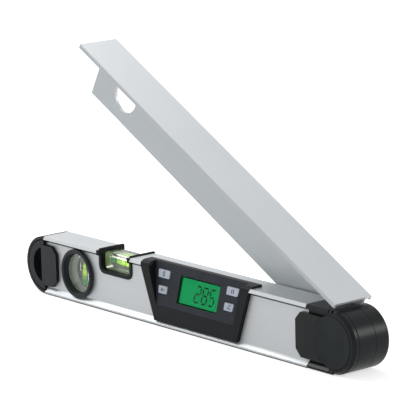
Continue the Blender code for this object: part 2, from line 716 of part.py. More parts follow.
def screw_shape(shop, x, z, seat, length, radius, head, head_height, outward, carrier=None):
    """A pan-head screw along Y: its head stands on the seat, on the outward side."""
    tip = seat - outward * length
    crown = seat + outward * head_height
    profile = [(0, crown), (head, crown), (head, seat), (radius, seat), (radius, tip), (0, tip)]
    if outward < 0:
        profile.reverse()
    return shop.turned(profile, x, z, SCREW_STEPS, carrier)


def screw_hole(shop, x, z, seat, length, radius, head, head_height, outward, carrier=None):
    """The stepped hole of such a screw, clear of it all round."""
    return screw_shape(shop, x, z, seat - outward * FIT_GAP, length, radius + FIT_GAP, head + FIT_GAP,
                       head_height, outward, carrier)


def ring_places(count, circle, start):
    """Places of screws on a circle, as offsets in X and Z."""
    return [
        (circle * math.cos(start + 2 * math.pi * i / count), circle * math.sin(start + 2 * math.pi * i / count))
        for i in range(count)
    ]


def plug_screw_places(x):
    """The two screws of a plug, above and below the middle."""
    return [(x, MIDDLE_Z - PLUG_SCREW_HEIGHT), (x, MIDDLE_Z + PLUG_SCREW_HEIGHT)]


def all_plug_screws():
    """Every screw through the profile's rear wall."""
    left = plug_screw_places(LEFT_END + PLUG_SCREW_INSET)
    right = plug_screw_places(RIGHT_END - PLUG_SCREW_INSET)
    return left, right


def make_profile(shop):
    """The aluminium body: a box section with the cut-outs for all it carries."""
    profile = shop.slab(section(), LEFT_END, RIGHT_END, "X")
    hollow = shop.slab(hollow_outline(), LEFT_END - OVERRUN, RIGHT_END + OVERRUN, "X")
    through = (FRONT - OVERRUN, REAR + OVERRUN)
    hole, seat = PLUMB_SLEEVE_RADIUS + FIT_GAP, PLUMB_BEZEL_RADIUS + FIT_GAP
    front_seat, rear_seat = FRONT_FACE + FIT_GAP / 2, REAR_FACE - FIT_GAP / 2
    plumb = shop.turned(
        [
            (0, REAR + OVERRUN),
            (seat, REAR + OVERRUN),
            (seat, rear_seat),
            (hole, rear_seat),
            (hole, front_seat),
            (seat, front_seat),
            (seat, FRONT - OVERRUN),
            (0, FRONT - OVERRUN),
        ],
        at_length(PLUMB_VIAL_X), MIDDLE_Z, RING_STEPS)
    level = shop.slab(level_frame_outline(FIT_GAP, BODY_HEIGHT + OVERRUN), *through)
    display = shop.slab(bezel_outline(FIT_GAP), FRONT - OVERRUN, FRONT + BEZEL_TOP_DEPTH + FIT_GAP)
    cutters = [hollow, plumb, level, display, battery_opening(shop)]
    for group in all_plug_screws():
        for x, z in group:
            cutters.append(shop.rod(PLUG_SCREW_RADIUS + FIT_GAP, HOLLOW_REAR - OVERRUN, REAR + OVERRUN, x, z))
    shop.cut(profile, *cutters)
    return shop.finish(profile, "body_profile", "anodised")


def tongue_outline(start, end, low, direction):
    """A tongue with two cut corners at its free end, which direction points to."""
    high = BODY_HEIGHT - low
    inner = end - direction * TONGUE_CORNER_X
    points = [
        (start, low),
        (inner, low),
        (end, low + TONGUE_CORNER_Z),
        (end, high - TONGUE_CORNER_Z),
        (inner, high),
        (start, high),
    ]
    if direction < 0:
        points.reverse()
    return points


def half_round(x, radius, facing):
    """A half disc's outline about the middle height, closed along x."""
    start = math.pi / 2 if facing < 0 else -math.pi / 2
    return arc(x, MIDDLE_Z, radius, start, start + math.pi, LARGE_STEPS // 2)


def make_end_cap(shop):
    """The half-round left cap: rim, groove, tongue, plug and hang slot."""
    edge = LEFT_END - FIT_GAP
    radius = BODY_HEIGHT / 2 - CAP_RELIEF
    cap = shop.slab(half_round(edge, radius, -1), FRONT + TONGUE_FRONT, REAR)
    soften(cap, CAP_EDGE)
    plate_radius = radius - RIM_WIDTH
    groove = shop.turned(
        [
            (plate_radius, FRONT + TONGUE_FRONT + RIM_GROOVE_DEPTH),
            (plate_radius + RIM_GROOVE_WIDTH, FRONT + TONGUE_FRONT + RIM_GROOVE_DEPTH),
            (plate_radius + RIM_GROOVE_WIDTH, FRONT - OVERRUN),
            (plate_radius, FRONT - OVERRUN),
        ],
        edge,
        MIDDLE_Z,
    )
    plug_section = hollow_outline(FIT_GAP)
    plug = shop.slab(plug_section, edge - RIM_WIDTH, LEFT_END + CAP_PLUG_LENGTH, "X")
    tongue = shop.slab(
        tongue_outline(edge - RIM_WIDTH, LEFT_END + TONGUE_LENGTH, TONGUE_LOW, 1),
        FRONT + TONGUE_FRONT,
        FRONT_FACE - FIT_GAP,
    )
    rail_relief = cap_rail_relief(shop, edge)
    shop.cut(cap, groove, *rail_relief)
    shop.join(cap, plug, tongue)
    reach = math.acos(SLOT_FLAT_X / SLOT_RADIUS)
    bow = arc(LEFT_END, MIDDLE_Z, SLOT_RADIUS, math.pi - reach, math.pi + reach, RING_STEPS // 2)
    slot = shop.slab(bow, FRONT - OVERRUN, REAR + OVERRUN)
    holes = []
    for x, z in plug_screw_places(LEFT_END + PLUG_SCREW_INSET):
        depth = HOLLOW_REAR - PLUG_SCREW_LENGTH
        holes.append(shop.rod(PLUG_SCREW_RADIUS + FIT_GAP, depth, HOLLOW_REAR + OVERRUN, x, z))
    shop.cut(cap, slot, *holes)
    shop.finish(cap, "end_cap", "black_plastic")
    for i, (x, z) in enumerate(plug_screw_places(LEFT_END + PLUG_SCREW_INSET)):
        shop.finish(plug_screw(shop, x, z), f"end_cap_screw_{i + 1}", "steel")


def cap_rail_relief(shop, edge):
    """Steps in the cap's top and bottom edges that carry on the profile's chamfers."""
    relief = []
    for z in (TONGUE_LOW, BODY_HEIGHT - TONGUE_LOW):
        low, high = z - RIM_GROOVE_WIDTH / 2, z + RIM_GROOVE_WIDTH / 2
        relief.append(shop.box((edge - RIM_WIDTH, edge + OVERRUN),
                               (FRONT - OVERRUN, FRONT + TONGUE_FRONT + RIM_GROOVE_DEPTH), (low, high)))
    return relief


def plug_screw(shop, x, z):
    """A screw through the rear wall into a plug."""
    seat = REAR_FACE + FIT_GAP
    head_height = min(PLUG_SCREW_HEAD_HEIGHT, REAR_RECESS - 2 * FIT_GAP)
    return screw_shape(shop, x, z, seat, PLUG_SCREW_LENGTH, PLUG_SCREW_RADIUS, PLUG_SCREW_HEAD,
                       head_height, 1)


def make_plumb_vial(shop):
    """Two bezels, the clear block between them, the fluid in its bore and the plug."""
    x = at_length(PLUMB_VIAL_X)
    block_front = FRONT + PLUMB_GLASS_SETBACK
    block_rear = REAR_FACE - PROFILE_WALL
    middle = (block_front + block_rear) / 2
    seat_front, seat_rear = FRONT_FACE - FIT_GAP, REAR_FACE + FIT_GAP
    front_face = FRONT - PLUMB_BEZEL_PROUD
    rear_face = REAR - FIT_GAP
    sleeve_end = middle - FIT_GAP / 2
    glass = PLUMB_GLASS_RADIUS + FIT_GAP
    front = shop.turned(
        [
            (PLUMB_SLEEVE_RADIUS, sleeve_end),
            (PLUMB_SLEEVE_RADIUS, seat_front),
            (PLUMB_BEZEL_RADIUS, seat_front),
            (PLUMB_BEZEL_RADIUS, front_face + PLUMB_BEZEL_EDGE),
            (PLUMB_BEZEL_RADIUS - PLUMB_BEZEL_EDGE, front_face),
            (PLUMB_LIP_RADIUS + PLUMB_BEZEL_EDGE, front_face),
            (PLUMB_LIP_RADIUS, front_face + PLUMB_BEZEL_EDGE),
            (PLUMB_LIP_RADIUS - FIT_GAP, block_front - FIT_GAP),
            (PLUMB_LIP_RADIUS - RIM_GROOVE_WIDTH, block_front - FIT_GAP),
            (glass, block_front),
            (glass, sleeve_end),
        ],
        x, MIDDLE_Z, RING_STEPS)
    shop.finish(front, "plumb_vial_front_bezel", "black_plastic")
    rear = shop.turned(
        [
            (PLUMB_LIP_RADIUS - RIM_GROOVE_WIDTH, rear_face),
            (PLUMB_BEZEL_RADIUS - PLUMB_BEZEL_EDGE, rear_face),
            (PLUMB_BEZEL_RADIUS, seat_rear),
            (PLUMB_SLEEVE_RADIUS, seat_rear),
            (PLUMB_SLEEVE_RADIUS, middle + FIT_GAP / 2),
            (glass, middle + FIT_GAP / 2),
            (glass, block_rear + FIT_GAP),
            (PLUMB_LIP_RADIUS - RIM_GROOVE_WIDTH, block_rear + FIT_GAP),
        ],
        x, MIDDLE_Z, RING_STEPS)
    shop.finish(rear, "plumb_vial_rear_bezel", "black_plastic")
    block = shop.rod(PLUMB_GLASS_RADIUS, block_front, block_rear, x, MIDDLE_Z, RING_STEPS)
    bore_top = MIDDLE_Z + PLUMB_GLASS_RADIUS + OVERRUN
    bore = upright_barrel(shop, x, middle, MIDDLE_Z - PLUMB_BORE_HALF, bore_top, 0.0)
    shop.cut(block, bore)
    shop.finish(block, "plumb_vial_block", "clear_acrylic")
    fluid_top = MIDDLE_Z + PLUMB_BORE_HALF
    fluid = upright_barrel(shop, x, middle, MIDDLE_Z - PLUMB_BORE_HALF + FIT_GAP, fluid_top, FIT_GAP)
    bubble = shop.add("bubble", ball_mesh(BUBBLE_RADIUS), Matrix.Translation((x, middle, fluid_top)), shop.body)
    shop.cut(fluid, bubble)
    shop.finish(fluid, "plumb_vial_fluid", "vial_fluid")
    plug = upright_barrel(shop, x, middle, fluid_top + FIT_GAP, fluid_top + VIAL_PLUG_LENGTH, FIT_GAP)
    shop.finish(plug, "plumb_vial_plug", "clear_acrylic")


def ball_mesh(radius):
    """A sphere for a bubble."""
    work = bmesh.new()
    bmesh.ops.create_uvsphere(work, u_segments=SMALL_STEPS, v_segments=SMALL_STEPS // 2, radius=radius)
    mesh = bpy.data.meshes.new("ball")
    work.to_mesh(mesh)
    work.free()
    return mesh


def upright_barrel(shop, x, y, low, high, gap):
    """A round bore or plug along Z, smaller all round by a gap."""
    radius = VIAL_BORE_RADIUS - gap
    profile = [(0, high), (radius, high), (radius, low), (0, low)]
    return shop.turned(profile, 0, 0, SMALL_STEPS, place=Matrix.Translation((x, y, 0)))


def lying_barrel(shop, x, y, z, low, high, gap):
    """A bore along X whose middle bulges, from low to high about x, smaller by a gap."""
    radius = VIAL_BORE_RADIUS - gap
    half = LEVEL_BORE_HALF
    profile = [(0, high), (radius, high)]
    for i in range(CORNER_STEPS * 2 + 1):
        along = half - half * i / CORNER_STEPS
        if low < along < high:
            profile.append((radius + VIAL_BULGE * (1 - (along / half) ** 2), along))
    profile += [(radius, low), (0, low)]
    turn = Matrix.Rotation(math.radians(90), 4, "Y")
    return shop.turned(profile, 0, 0, SMALL_STEPS, place=Matrix.Translation((x, y, z)) @ turn)


def make_level_vial(shop):
    """The U-shaped frame, the clear block in it, the fluid and the plug."""
    x = at_length(LEVEL_VIAL_X)
    half = LEVEL_FRAME_WIDTH / 2
    front, rear = FRONT + LEVEL_FRAME_SETBACK, REAR_FACE + LEVEL_FRAME_REAR_PROUD
    top = BODY_HEIGHT + LEVEL_LIP_PROUD
    frame = shop.slab(level_frame_outline(0, BODY_HEIGHT), front, rear)
    floor = LEVEL_FRAME_BOTTOM + LEVEL_FRAME_WALL
    inner = half - LEVEL_FRAME_WALL
    opening = rounded(
        [(x - inner, floor), (x + inner, floor), (x + inner, top + OVERRUN), (x - inner, top + OVERRUN)],
        LEVEL_FRAME_CORNER - LEVEL_FRAME_WALL)
    lips = []
    for side in (-1, 1):
        outer = x + side * half
        near = outer - side * LEVEL_FRAME_WALL
        span = (min(outer, near), max(outer, near))
        low = BODY_HEIGHT - LEVEL_LIP_HEIGHT
        lip = shop.box(span, (FRONT + LEVEL_LIP_SETBACK, REAR), (low, top))
        lips.append(soften(lip, LEVEL_LIP_EDGE))
        foot = shop.box(span, (FRONT, FRONT + LEVEL_LIP_SETBACK * 2), (low, BODY_HEIGHT))
        lips.append(foot)
    shop.join(frame, *lips)
    shop.cut(frame, shop.slab(opening, FRONT - OVERRUN, REAR + OVERRUN))
    shop.finish(frame, "level_vial_frame", "black_plastic")
    block_half = inner - FIT_GAP
    block_rear = VIAL_BORE_RADIUS + VIAL_BULGE + LEVEL_BLOCK_WALL
    block_front = -block_rear
    block_low, block_high = floor + FIT_GAP, BODY_HEIGHT - LEVEL_BLOCK_TOP_GAP
    corners = [(x - block_half, block_low), (x + block_half, block_low),
               (x + block_half, block_high), (x - block_half, block_high)]
    block = shop.slab(rounded(corners, LEVEL_FRAME_CORNER - LEVEL_FRAME_WALL), block_front, block_rear)
    y, z = (block_front + block_rear) / 2, (block_low + block_high) / 2
    bore = lying_barrel(shop, x, y, z, -LEVEL_BORE_HALF, block_half + OVERRUN, 0.0)
    shop.cut(block, bore)
    shop.finish(block, "level_vial_block", "clear_acrylic")
    fluid = lying_barrel(shop, x, y, z, -LEVEL_BORE_HALF + FIT_GAP, LEVEL_BORE_HALF, FIT_GAP)
    stretch = Matrix.Diagonal((LEVEL_BUBBLE_HALF / BUBBLE_RADIUS, 1, 1, 1))
    lift = Matrix.Translation((x, y, z + VIAL_BORE_RADIUS + VIAL_BULGE))
    mesh = ball_mesh(BUBBLE_RADIUS)
    mesh.transform(stretch)
    shop.cut(fluid, shop.add("bubble", mesh, lift, shop.body))
    shop.finish(fluid, "level_vial_fluid", "vial_fluid")
    start = LEVEL_BORE_HALF + FIT_GAP
    plug = lying_barrel(shop, x, y, z, start, start + VIAL_PLUG_LENGTH, FIT_GAP)
    shop.finish(plug, "level_vial_plug", "clear_acrylic")


def bezel_side():
    """Side outline of the bezel, as (y, z): a chamfered brow that rises to the top plate."""
    return [
        (FRONT - BEZEL_PROUD, BEZEL_BOTTOM),
        (FRONT + BEZEL_TOP_DEPTH, BEZEL_BOTTOM),
        (FRONT + BEZEL_TOP_DEPTH, BEZEL_TOP_Z),
        (FRONT + BEZEL_CREST_DEPTH, BEZEL_TOP_Z),
        (FRONT + BEZEL_BROW_DEPTH, BEZEL_BROW_Z),
        (FRONT + BEZEL_LIP_DEPTH, BEZEL_LIP_Z),
        (FRONT + BEZEL_SHOULDER_DEPTH, BEZEL_SHOULDER_Z),
        (FRONT - BEZEL_PROUD, BEZEL_CHAMFER_Z),
    ]


def make_bezel(shop):
    """The display's moulded bezel: tilted panel, chin, side walls and top plate."""
    x = at_length(DISPLAY_X)
    reach = bezel_half(BODY_HEIGHT) + OVERRUN
    bezel = shop.slab(bezel_side(), x - reach, x + reach, "X")
    shop.common(bezel, shop.slab(bezel_outline(), FRONT - OVERRUN, FRONT + BEZEL_TOP_DEPTH + OVERRUN))
    slope_length = (BODY_HEIGHT + OVERRUN - PANEL_FOOT_Z) / math.cos(PANEL_TILT)
    wide = PANEL_FOOT_HALF + PANEL_SLOPE * slope_length
    recess = shop.slab(trapezoid(0, 0, slope_length, PANEL_FOOT_HALF, wide), 0,
                       BEZEL_TOP_DEPTH + OVERRUN, "panel")
    back = FRONT + BEZEL_TOP_DEPTH + OVERRUN
    wall_depth = PANEL_WALL / math.cos(PANEL_TILT)
    cavity_side = [
        (FRONT + BEZEL_WALL, CAVITY_LOW),
        (back, CAVITY_LOW),
        (back, CAVITY_HIGH),
        (FRONT + wall_depth + (CAVITY_HIGH - PANEL_FOOT_Z) * math.tan(PANEL_TILT), CAVITY_HIGH),
        (FRONT + BEZEL_WALL, PANEL_FOOT_Z),
    ]
    cavity = shop.slab(cavity_side, x - reach, x + reach, "X")
    low_half = bezel_half(CAVITY_LOW, BEZEL_SIDE_WALL)
    high_half = bezel_half(CAVITY_HIGH, BEZEL_SIDE_WALL)
    inside = trapezoid(x, CAVITY_LOW, CAVITY_HIGH, low_half, high_half)
    shop.common(cavity, shop.slab(inside, FRONT - OVERRUN, back + OVERRUN))
    through = (-PANEL_WALL - OVERRUN, OVERRUN)
    lcd = shop.slab(rectangle(LCD_OFFSET_X, LCD_MIDDLE_V, LCD_WIDTH, LCD_HEIGHT), *through, "panel")
    cutters = [recess, cavity, lcd]
    for _, inner, outer, side, low, high in button_places():
        outline = button_outline(inner, outer, side, low, high, FIT_GAP)
        cutters.append(shop.slab(outline, *through, "panel"))
    for px, pz in display_screw_places():
        front = FRONT + BEZEL_TOP_DEPTH - DISPLAY_SCREW_LENGTH
        cutters.append(shop.rod(DISPLAY_SCREW_RADIUS + FIT_GAP, front, back, px, pz))
    shop.cut(bezel, *cutters)
    shop.finish(bezel, "display_bezel", "black_plastic")


def rectangle(x, z, width, height):
    """A rectangle about its middle."""
    return [
        (x - width / 2, z - height / 2),
        (x + width / 2, z - height / 2),
        (x + width / 2, z + height / 2),
        (x - width / 2, z + height / 2),
    ]


def display_screw_places():
    """The four screws of the display's rear cover, in the bezel's side walls."""
    places = []
    for z in (DISPLAY_SCREW_LOW, DISPLAY_SCREW_HIGH):
        for side in (-1, 1):
            places.append((at_length(DISPLAY_X) + side * bezel_half(z, BEZEL_SIDE_WALL / 2), z))
    return places


def make_buttons(shop):
    """Four push buttons: a cap through the panel and a flange behind it."""
    for name, inner, outer, side, low, high in button_places():
        cap = shop.slab(button_outline(inner, outer, side, low, high),
                        -PANEL_WALL - FIT_GAP - BUTTON_FLANGE_THICKNESS, BUTTON_PROUD, "panel")
        soften(cap, BUTTON_EDGE, 1)
        back = -PANEL_WALL - FIT_GAP
        flange = shop.slab(button_outline(inner, outer, side, low, high, BUTTON_FLANGE),
                           back - BUTTON_FLANGE_THICKNESS, back, "panel")
        shop.join(flange, cap)
        shop.finish(flange, name, "button_grey")


def make_display_inside(shop):
    """Window pane, LCD module, main board, switches, buzzer, rear cover and its screws."""
    window = shop.slab(
        rectangle(LCD_OFFSET_X, LCD_MIDDLE_V, LCD_WIDTH - 2 * FIT_GAP, LCD_HEIGHT - 2 * FIT_GAP),
        -PANEL_WALL, -PANEL_WALL + LCD_WINDOW_THICKNESS, "panel")
    shop.finish(window, "lcd_window", "clear_acrylic")
    module_front = -PANEL_WALL - FIT_GAP
    module_back = module_front - LCD_MODULE_THICKNESS
    margin = 2 * LCD_MODULE_MARGIN
    module = shop.slab(
        rectangle(LCD_OFFSET_X, LCD_MIDDLE_V, LCD_WIDTH + margin, LCD_HEIGHT + margin),
        module_back, module_front, "panel")
    shop.finish(module, "lcd_module", "lcd_green")
    board_front = module_back - FIT_GAP
    board_back = board_front - BOARD_THICKNESS
    outline = trapezoid(0, BOARD_LOW_V, BOARD_HIGH_V, BOARD_LOW_HALF, BOARD_HIGH_HALF)
    board = shop.slab(outline, board_back, board_front, "panel")
    for _, inner, outer, side, low, high in button_places():
        x, v = (inner + outer) / 2, (low + high) / 2
        switch = shop.slab(rectangle(x, v, SWITCH_SIDE, SWITCH_SIDE), board_back / 2 + board_front / 2,
                           board_front + SWITCH_HEIGHT, "panel")
        shop.join(board, switch)
    shop.finish(board, "main_board", "board_green")
    rim = circle(BUZZER_X, BUZZER_V, BUZZER_RADIUS, SMALL_STEPS)
    buzzer = shop.slab(rim, board_back - FIT_GAP - BUZZER_HEIGHT, board_back - FIT_GAP, "panel")
    shop.finish(buzzer, "buzzer", "black_plastic")
    front = FRONT + BEZEL_TOP_DEPTH + FIT_GAP
    low_half = bezel_half(BACK_COVER_LOW)
    high_half = bezel_half(BACK_COVER_HIGH)
    cover = shop.slab(trapezoid(at_length(DISPLAY_X), BACK_COVER_LOW, BACK_COVER_HIGH, low_half, high_half),
                      front, front + BACK_COVER_THICKNESS)
    seat = front + BACK_COVER_THICKNESS + FIT_GAP
    length = DISPLAY_SCREW_LENGTH
    for i, (x, z) in enumerate(display_screw_places()):
        shop.cut(cover, shop.rod(DISPLAY_SCREW_RADIUS + FIT_GAP, front - OVERRUN, seat + OVERRUN, x, z))
        screw = screw_shape(shop, x, z, seat, length, DISPLAY_SCREW_RADIUS,
                            2 * DISPLAY_SCREW_RADIUS, DISPLAY_SCREW_RADIUS, 1)
        shop.finish(screw, f"display_screw_{i + 1}", "steel")
    shop.finish(cover, "display_rear_cover", "black_plastic")


def battery_opening(shop, gap=0.0):
    """The opening in the rear wall that the cells go in by."""
    x = at_length(BATTERY_X)
    return shop.box((x - BAY_HALF_LENGTH - gap, x + BAY_HALF_LENGTH + gap),
                    (HOLLOW_REAR - OVERRUN, REAR + OVERRUN),
                    (MIDDLE_Z - BAY_HALF_HEIGHT - gap, MIDDLE_Z + BAY_HALF_HEIGHT + gap))


def make_battery_bay(shop):
    """Holder with its door rails, cells, contacts and the sliding door."""
    x = at_length(BATTERY_X)
    floor = HOLLOW_REAR - 2 * CELL_RADIUS - FIT_GAP
    rim = HOLLOW_REAR - FIT_GAP
    holder = shop.box((x - HOLDER_HALF_LENGTH, x + HOLDER_HALF_LENGTH), (floor - HOLDER_WALL, rim),
                      (MIDDLE_Z - HOLDER_HALF_HEIGHT, MIDDLE_Z + HOLDER_HALF_HEIGHT))
    shop.cut(holder, shop.box((x - BAY_HALF_LENGTH, x + BAY_HALF_LENGTH), (floor, rim + OVERRUN),
                              (MIDDLE_Z - BAY_HALF_HEIGHT, MIDDLE_Z + BAY_HALF_HEIGHT)))
    shop.finish(holder, "battery_holder", "black_plastic")
    for i, side in enumerate((-1, 1)):
        z = MIDDLE_Z + side * (CELL_RADIUS + CELL_GAP / 4)
        y = floor + FIT_GAP + CELL_RADIUS
        half = CELL_LENGTH / 2
        profile = [(0, half), (CELL_NUB_RADIUS, half), (CELL_NUB_RADIUS, half - CELL_NUB_LENGTH),
                   (CELL_RADIUS, half - CELL_NUB_LENGTH), (CELL_RADIUS, -half), (0, -half)]
        turn = Matrix.Rotation(math.radians(90 * side), 4, "Y")
        cell = shop.turned(profile, 0, 0, RING_STEPS // 2, place=Matrix.Translation((x, y, z)) @ turn)
        shop.finish(cell, f"battery_cell_{i + 1}", "cell_wrap")
    make_contacts(shop, x, floor)
    make_door(shop, x)


def make_contacts(shop, x, floor):
    """One plate that bridges both cells at the left, and two single plates at the right."""
    y = floor + FIT_GAP + CELL_RADIUS
    offset = CELL_RADIUS + CELL_GAP / 4
    groups = (
        ("contact_bridge", -1, (-offset, offset)),
        ("contact_upper", 1, (offset,)),
        ("contact_lower", 1, (-offset,)),
    )
    for name, end, offsets in groups:
        outer = x + end * (BAY_HALF_LENGTH - FIT_GAP)
        inner = outer - end * CONTACT_THICKNESS
        low = MIDDLE_Z + min(offsets) - CONTACT_WIDTH / 2
        high = MIDDLE_Z + max(offsets) + CONTACT_WIDTH / 2
        plate = shop.box((min(outer, inner), max(outer, inner)),
                         (y - CONTACT_WIDTH / 2, y + CONTACT_WIDTH / 2), (low, high))
        for place in offsets:
            reach = CONTACT_SPRING_LENGTH
            root = -CONTACT_THICKNESS / 2
            profile = [(0, reach), (CONTACT_SPRING_RADIUS / 2, reach), (CONTACT_SPRING_RADIUS, root), (0, root)]
            turn = Matrix.Rotation(math.radians(-90 * end), 4, "Y")
            centre = Matrix.Translation((inner, y, MIDDLE_Z + place))
            shop.join(plate, shop.turned(profile, 0, 0, SMALL_STEPS, place=centre @ turn))
        shop.finish(plate, name, "steel")


def make_door(shop, x):
    """The sliding battery door between two rails with lips over its edges."""
    seat = REAR_FACE + FIT_GAP
    half_height = DOOR_HEIGHT / 2
    door_span = (x - DOOR_LENGTH / 2, x + DOOR_LENGTH / 2)
    edge = shop.box(door_span, (seat, seat + DOOR_EDGE_THICKNESS),
                    (MIDDLE_Z - half_height, MIDDLE_Z + half_height))
    inset = half_height - DOOR_LIP - FIT_GAP
    raised = shop.box(door_span, (seat, seat + DOOR_THICKNESS), (MIDDLE_Z - inset, MIDDLE_Z + inset))
    ribs = []
    for i in range(DOOR_RIB_COUNT):
        place = x + DOOR_RIB_X - i * DOOR_RIB_PITCH
        bar = shop.box((place - DOOR_RIB_RADIUS, place + DOOR_RIB_RADIUS),
                       (seat, seat + DOOR_THICKNESS + DOOR_RIB_RADIUS / 2),
                       (MIDDLE_Z - DOOR_RIB_LENGTH / 2, MIDDLE_Z + DOOR_RIB_LENGTH / 2))
        ribs.append(bar)
    shop.join(edge, raised, *ribs)
    shop.finish(edge, "battery_door", "black_plastic")
    stop = x + DOOR_LENGTH / 2 + FIT_GAP
    end = stop + DOOR_RAIL_HEIGHT
    lip_low = seat + DOOR_EDGE_THICKNESS + FIT_GAP
    lip_high = seat + DOOR_THICKNESS + FIT_GAP
    reach = half_height + FIT_GAP + DOOR_RAIL_HEIGHT
    rails = shop.box((end - DOOR_RAIL_LENGTH, end), (seat, lip_high), (MIDDLE_Z - reach, MIDDLE_Z + reach))
    track = half_height + FIT_GAP
    mouth = half_height - DOOR_LIP
    shop.cut(
        rails,
        shop.box((end - DOOR_RAIL_LENGTH - OVERRUN, stop), (seat - OVERRUN, lip_low),
                 (MIDDLE_Z - track, MIDDLE_Z + track)),
        shop.box((end - DOOR_RAIL_LENGTH - OVERRUN, stop), (seat, lip_high + OVERRUN),
                 (MIDDLE_Z - mouth, MIDDLE_Z + mouth)),
    )
    shop.finish(rails, "battery_door_rails", "black_plastic")


def cover_section():
    """Front part of the profile's section, as (y, z), for the joint's front cover."""
    rear = FRONT + COVER_DEPTH
    chamfer_low = BODY_HEIGHT - TOP_CHAMFER_HEIGHT
    groove_top = BODY_HEIGHT - UPPER_RAIL_HEIGHT
    return [
        (FRONT + EDGE_CHAMFER, HUB_RELIEF),
        (rear, HUB_RELIEF),
        (rear, BODY_HEIGHT),
        (FRONT + TOP_CHAMFER_DEPTH, BODY_HEIGHT),
        (FRONT, chamfer_low),
        (FRONT, groove_top),
        (FRONT_FACE, groove_top),
        (FRONT_FACE, LOWER_SLOPE_TOP),
        (FRONT, LOWER_RAIL_HEIGHT),
        (FRONT, HUB_RELIEF + EDGE_CHAMFER),
    ]


def cover_screw_places():
    """The screws of the front cover, under the hub disc."""
    places = ring_places(COVER_SCREW_COUNT, COVER_SCREW_CIRCLE, COVER_SCREW_START)
    return [(PIVOT_X + dx, MIDDLE_Z + dz) for dx, dz in places]


def make_front_cover(shop):
    """Front cover of the joint: rails, tongue, rounded rim and the seat of the hub disc."""
    edge = RIGHT_END + FIT_GAP
    rear = FRONT + COVER_DEPTH
    seat = FRONT + TONGUE_FRONT + HUB_DISC_THICKNESS
    cover = shop.slab(cover_section(), edge, PIVOT_X, "X")
    rim_inner = HUB_DISC_RADIUS + FIT_GAP
    rim = shop.turned(
        [
            (0, rear),
            (HUB_RADIUS, rear),
            (HUB_RADIUS, FRONT + COVER_DEPTH / 2),
            (HUB_RADIUS - RIM_CHAMFER, FRONT + RIM_CHAMFER),
            (rim_inner + RIM_FACE, FRONT + TONGUE_FRONT),
            (0, FRONT + TONGUE_FRONT),
        ],
        PIVOT_X, MIDDLE_Z)
    behind = shop.box((PIVOT_X - 2 * HUB_RADIUS, PIVOT_X - OVERRUN / 2), (FRONT - OVERRUN, rear + OVERRUN),
                      (-OVERRUN, BODY_HEIGHT + OVERRUN))
    shop.cut(rim, behind)
    tongue = shop.slab(tongue_outline(PIVOT_X, RIGHT_END - JOINT_TONGUE_LENGTH, JOINT_TONGUE_LOW, -1),
                       FRONT + TONGUE_FRONT, FRONT_FACE - FIT_GAP)
    filler_low = JOINT_TONGUE_LOW + FIT_GAP
    filler = shop.box((edge, PIVOT_X), (FRONT + 2 * TONGUE_FRONT, FRONT_FACE + FIT_GAP),
                      (filler_low, BODY_HEIGHT - filler_low))
    shop.join(cover, rim, filler, tongue)
    head_bore = AXLE_HEAD_RADIUS + FIT_GAP
    cutters = [
        shop.turned(
            [
                (0, rear + OVERRUN),
                (head_bore, rear + OVERRUN),
                (head_bore, seat + FIT_GAP),
                (rim_inner, seat + FIT_GAP),
                (rim_inner, FRONT - OVERRUN),
                (0, FRONT - OVERRUN),
            ],
            PIVOT_X, MIDDLE_Z),
    ]
    for x, z in cover_screw_places():
        head_seat = seat + FIT_GAP + COVER_SCREW_HEAD_HEIGHT
        cutters.append(screw_hole(shop, x, z, head_seat, COVER_SCREW_LENGTH, COVER_SCREW_RADIUS,
                                  COVER_SCREW_HEAD, 2 * OVERRUN, -1))
    for z in (0, BODY_HEIGHT):
        low, high = z - SLIT_LENGTH, z + SLIT_LENGTH
        slit_x = PIVOT_X - SLIT_X
        cutters.append(shop.box((slit_x - SLIT_WIDTH / 2, slit_x + SLIT_WIDTH / 2),
                                (FRONT - OVERRUN, FRONT + SLIT_DEPTH), (low, high)))
    shop.cut(cover, *cutters, solver="MANIFOLD")
    shop.finish(cover, "joint_front_cover", "black_plastic")
    disc_front = FRONT - FIT_GAP
    disc = shop.turned(
        [
            (0, seat),
            (HUB_DISC_RADIUS, seat),
            (HUB_DISC_RADIUS, disc_front + HUB_DISC_EDGE),
            (HUB_DISC_RADIUS - HUB_DISC_EDGE, disc_front),
            (0, disc_front),
        ],
        PIVOT_X, MIDDLE_Z)
    shop.finish(disc, "hub_disc_front", "black_plastic")
    for i, (x, z) in enumerate(cover_screw_places()):
        head_seat = seat + FIT_GAP + COVER_SCREW_HEAD_HEIGHT
        screw = screw_shape(shop, x, z, head_seat, COVER_SCREW_LENGTH, COVER_SCREW_RADIUS,
                            COVER_SCREW_HEAD, COVER_SCREW_HEAD_HEIGHT, -1)
        shop.finish(screw, f"cover_screw_{i + 1}", "steel")


def housing_section():
    """Section of the joint housing behind the front cover, as (y, z)."""
    front = FRONT + DRUM_FRONT
    rear_top = BODY_HEIGHT - REAR_RAIL_HEIGHT
    chamfer_low = BODY_HEIGHT - TOP_CHAMFER_HEIGHT
    return [
        (front, HUB_RELIEF),
        (REAR - EDGE_CHAMFER, HUB_RELIEF),
        (REAR, HUB_RELIEF + EDGE_CHAMFER),
        (REAR, REAR_RAIL_HEIGHT),
        (REAR_FACE, REAR_RAIL_HEIGHT + REAR_SLOPE_HEIGHT),
        (REAR_FACE, rear_top - REAR_SLOPE_HEIGHT),
        (REAR, rear_top),
        (REAR, chamfer_low),
        (REAR - TOP_CHAMFER_DEPTH, BODY_HEIGHT),
        (front, BODY_HEIGHT),
    ]


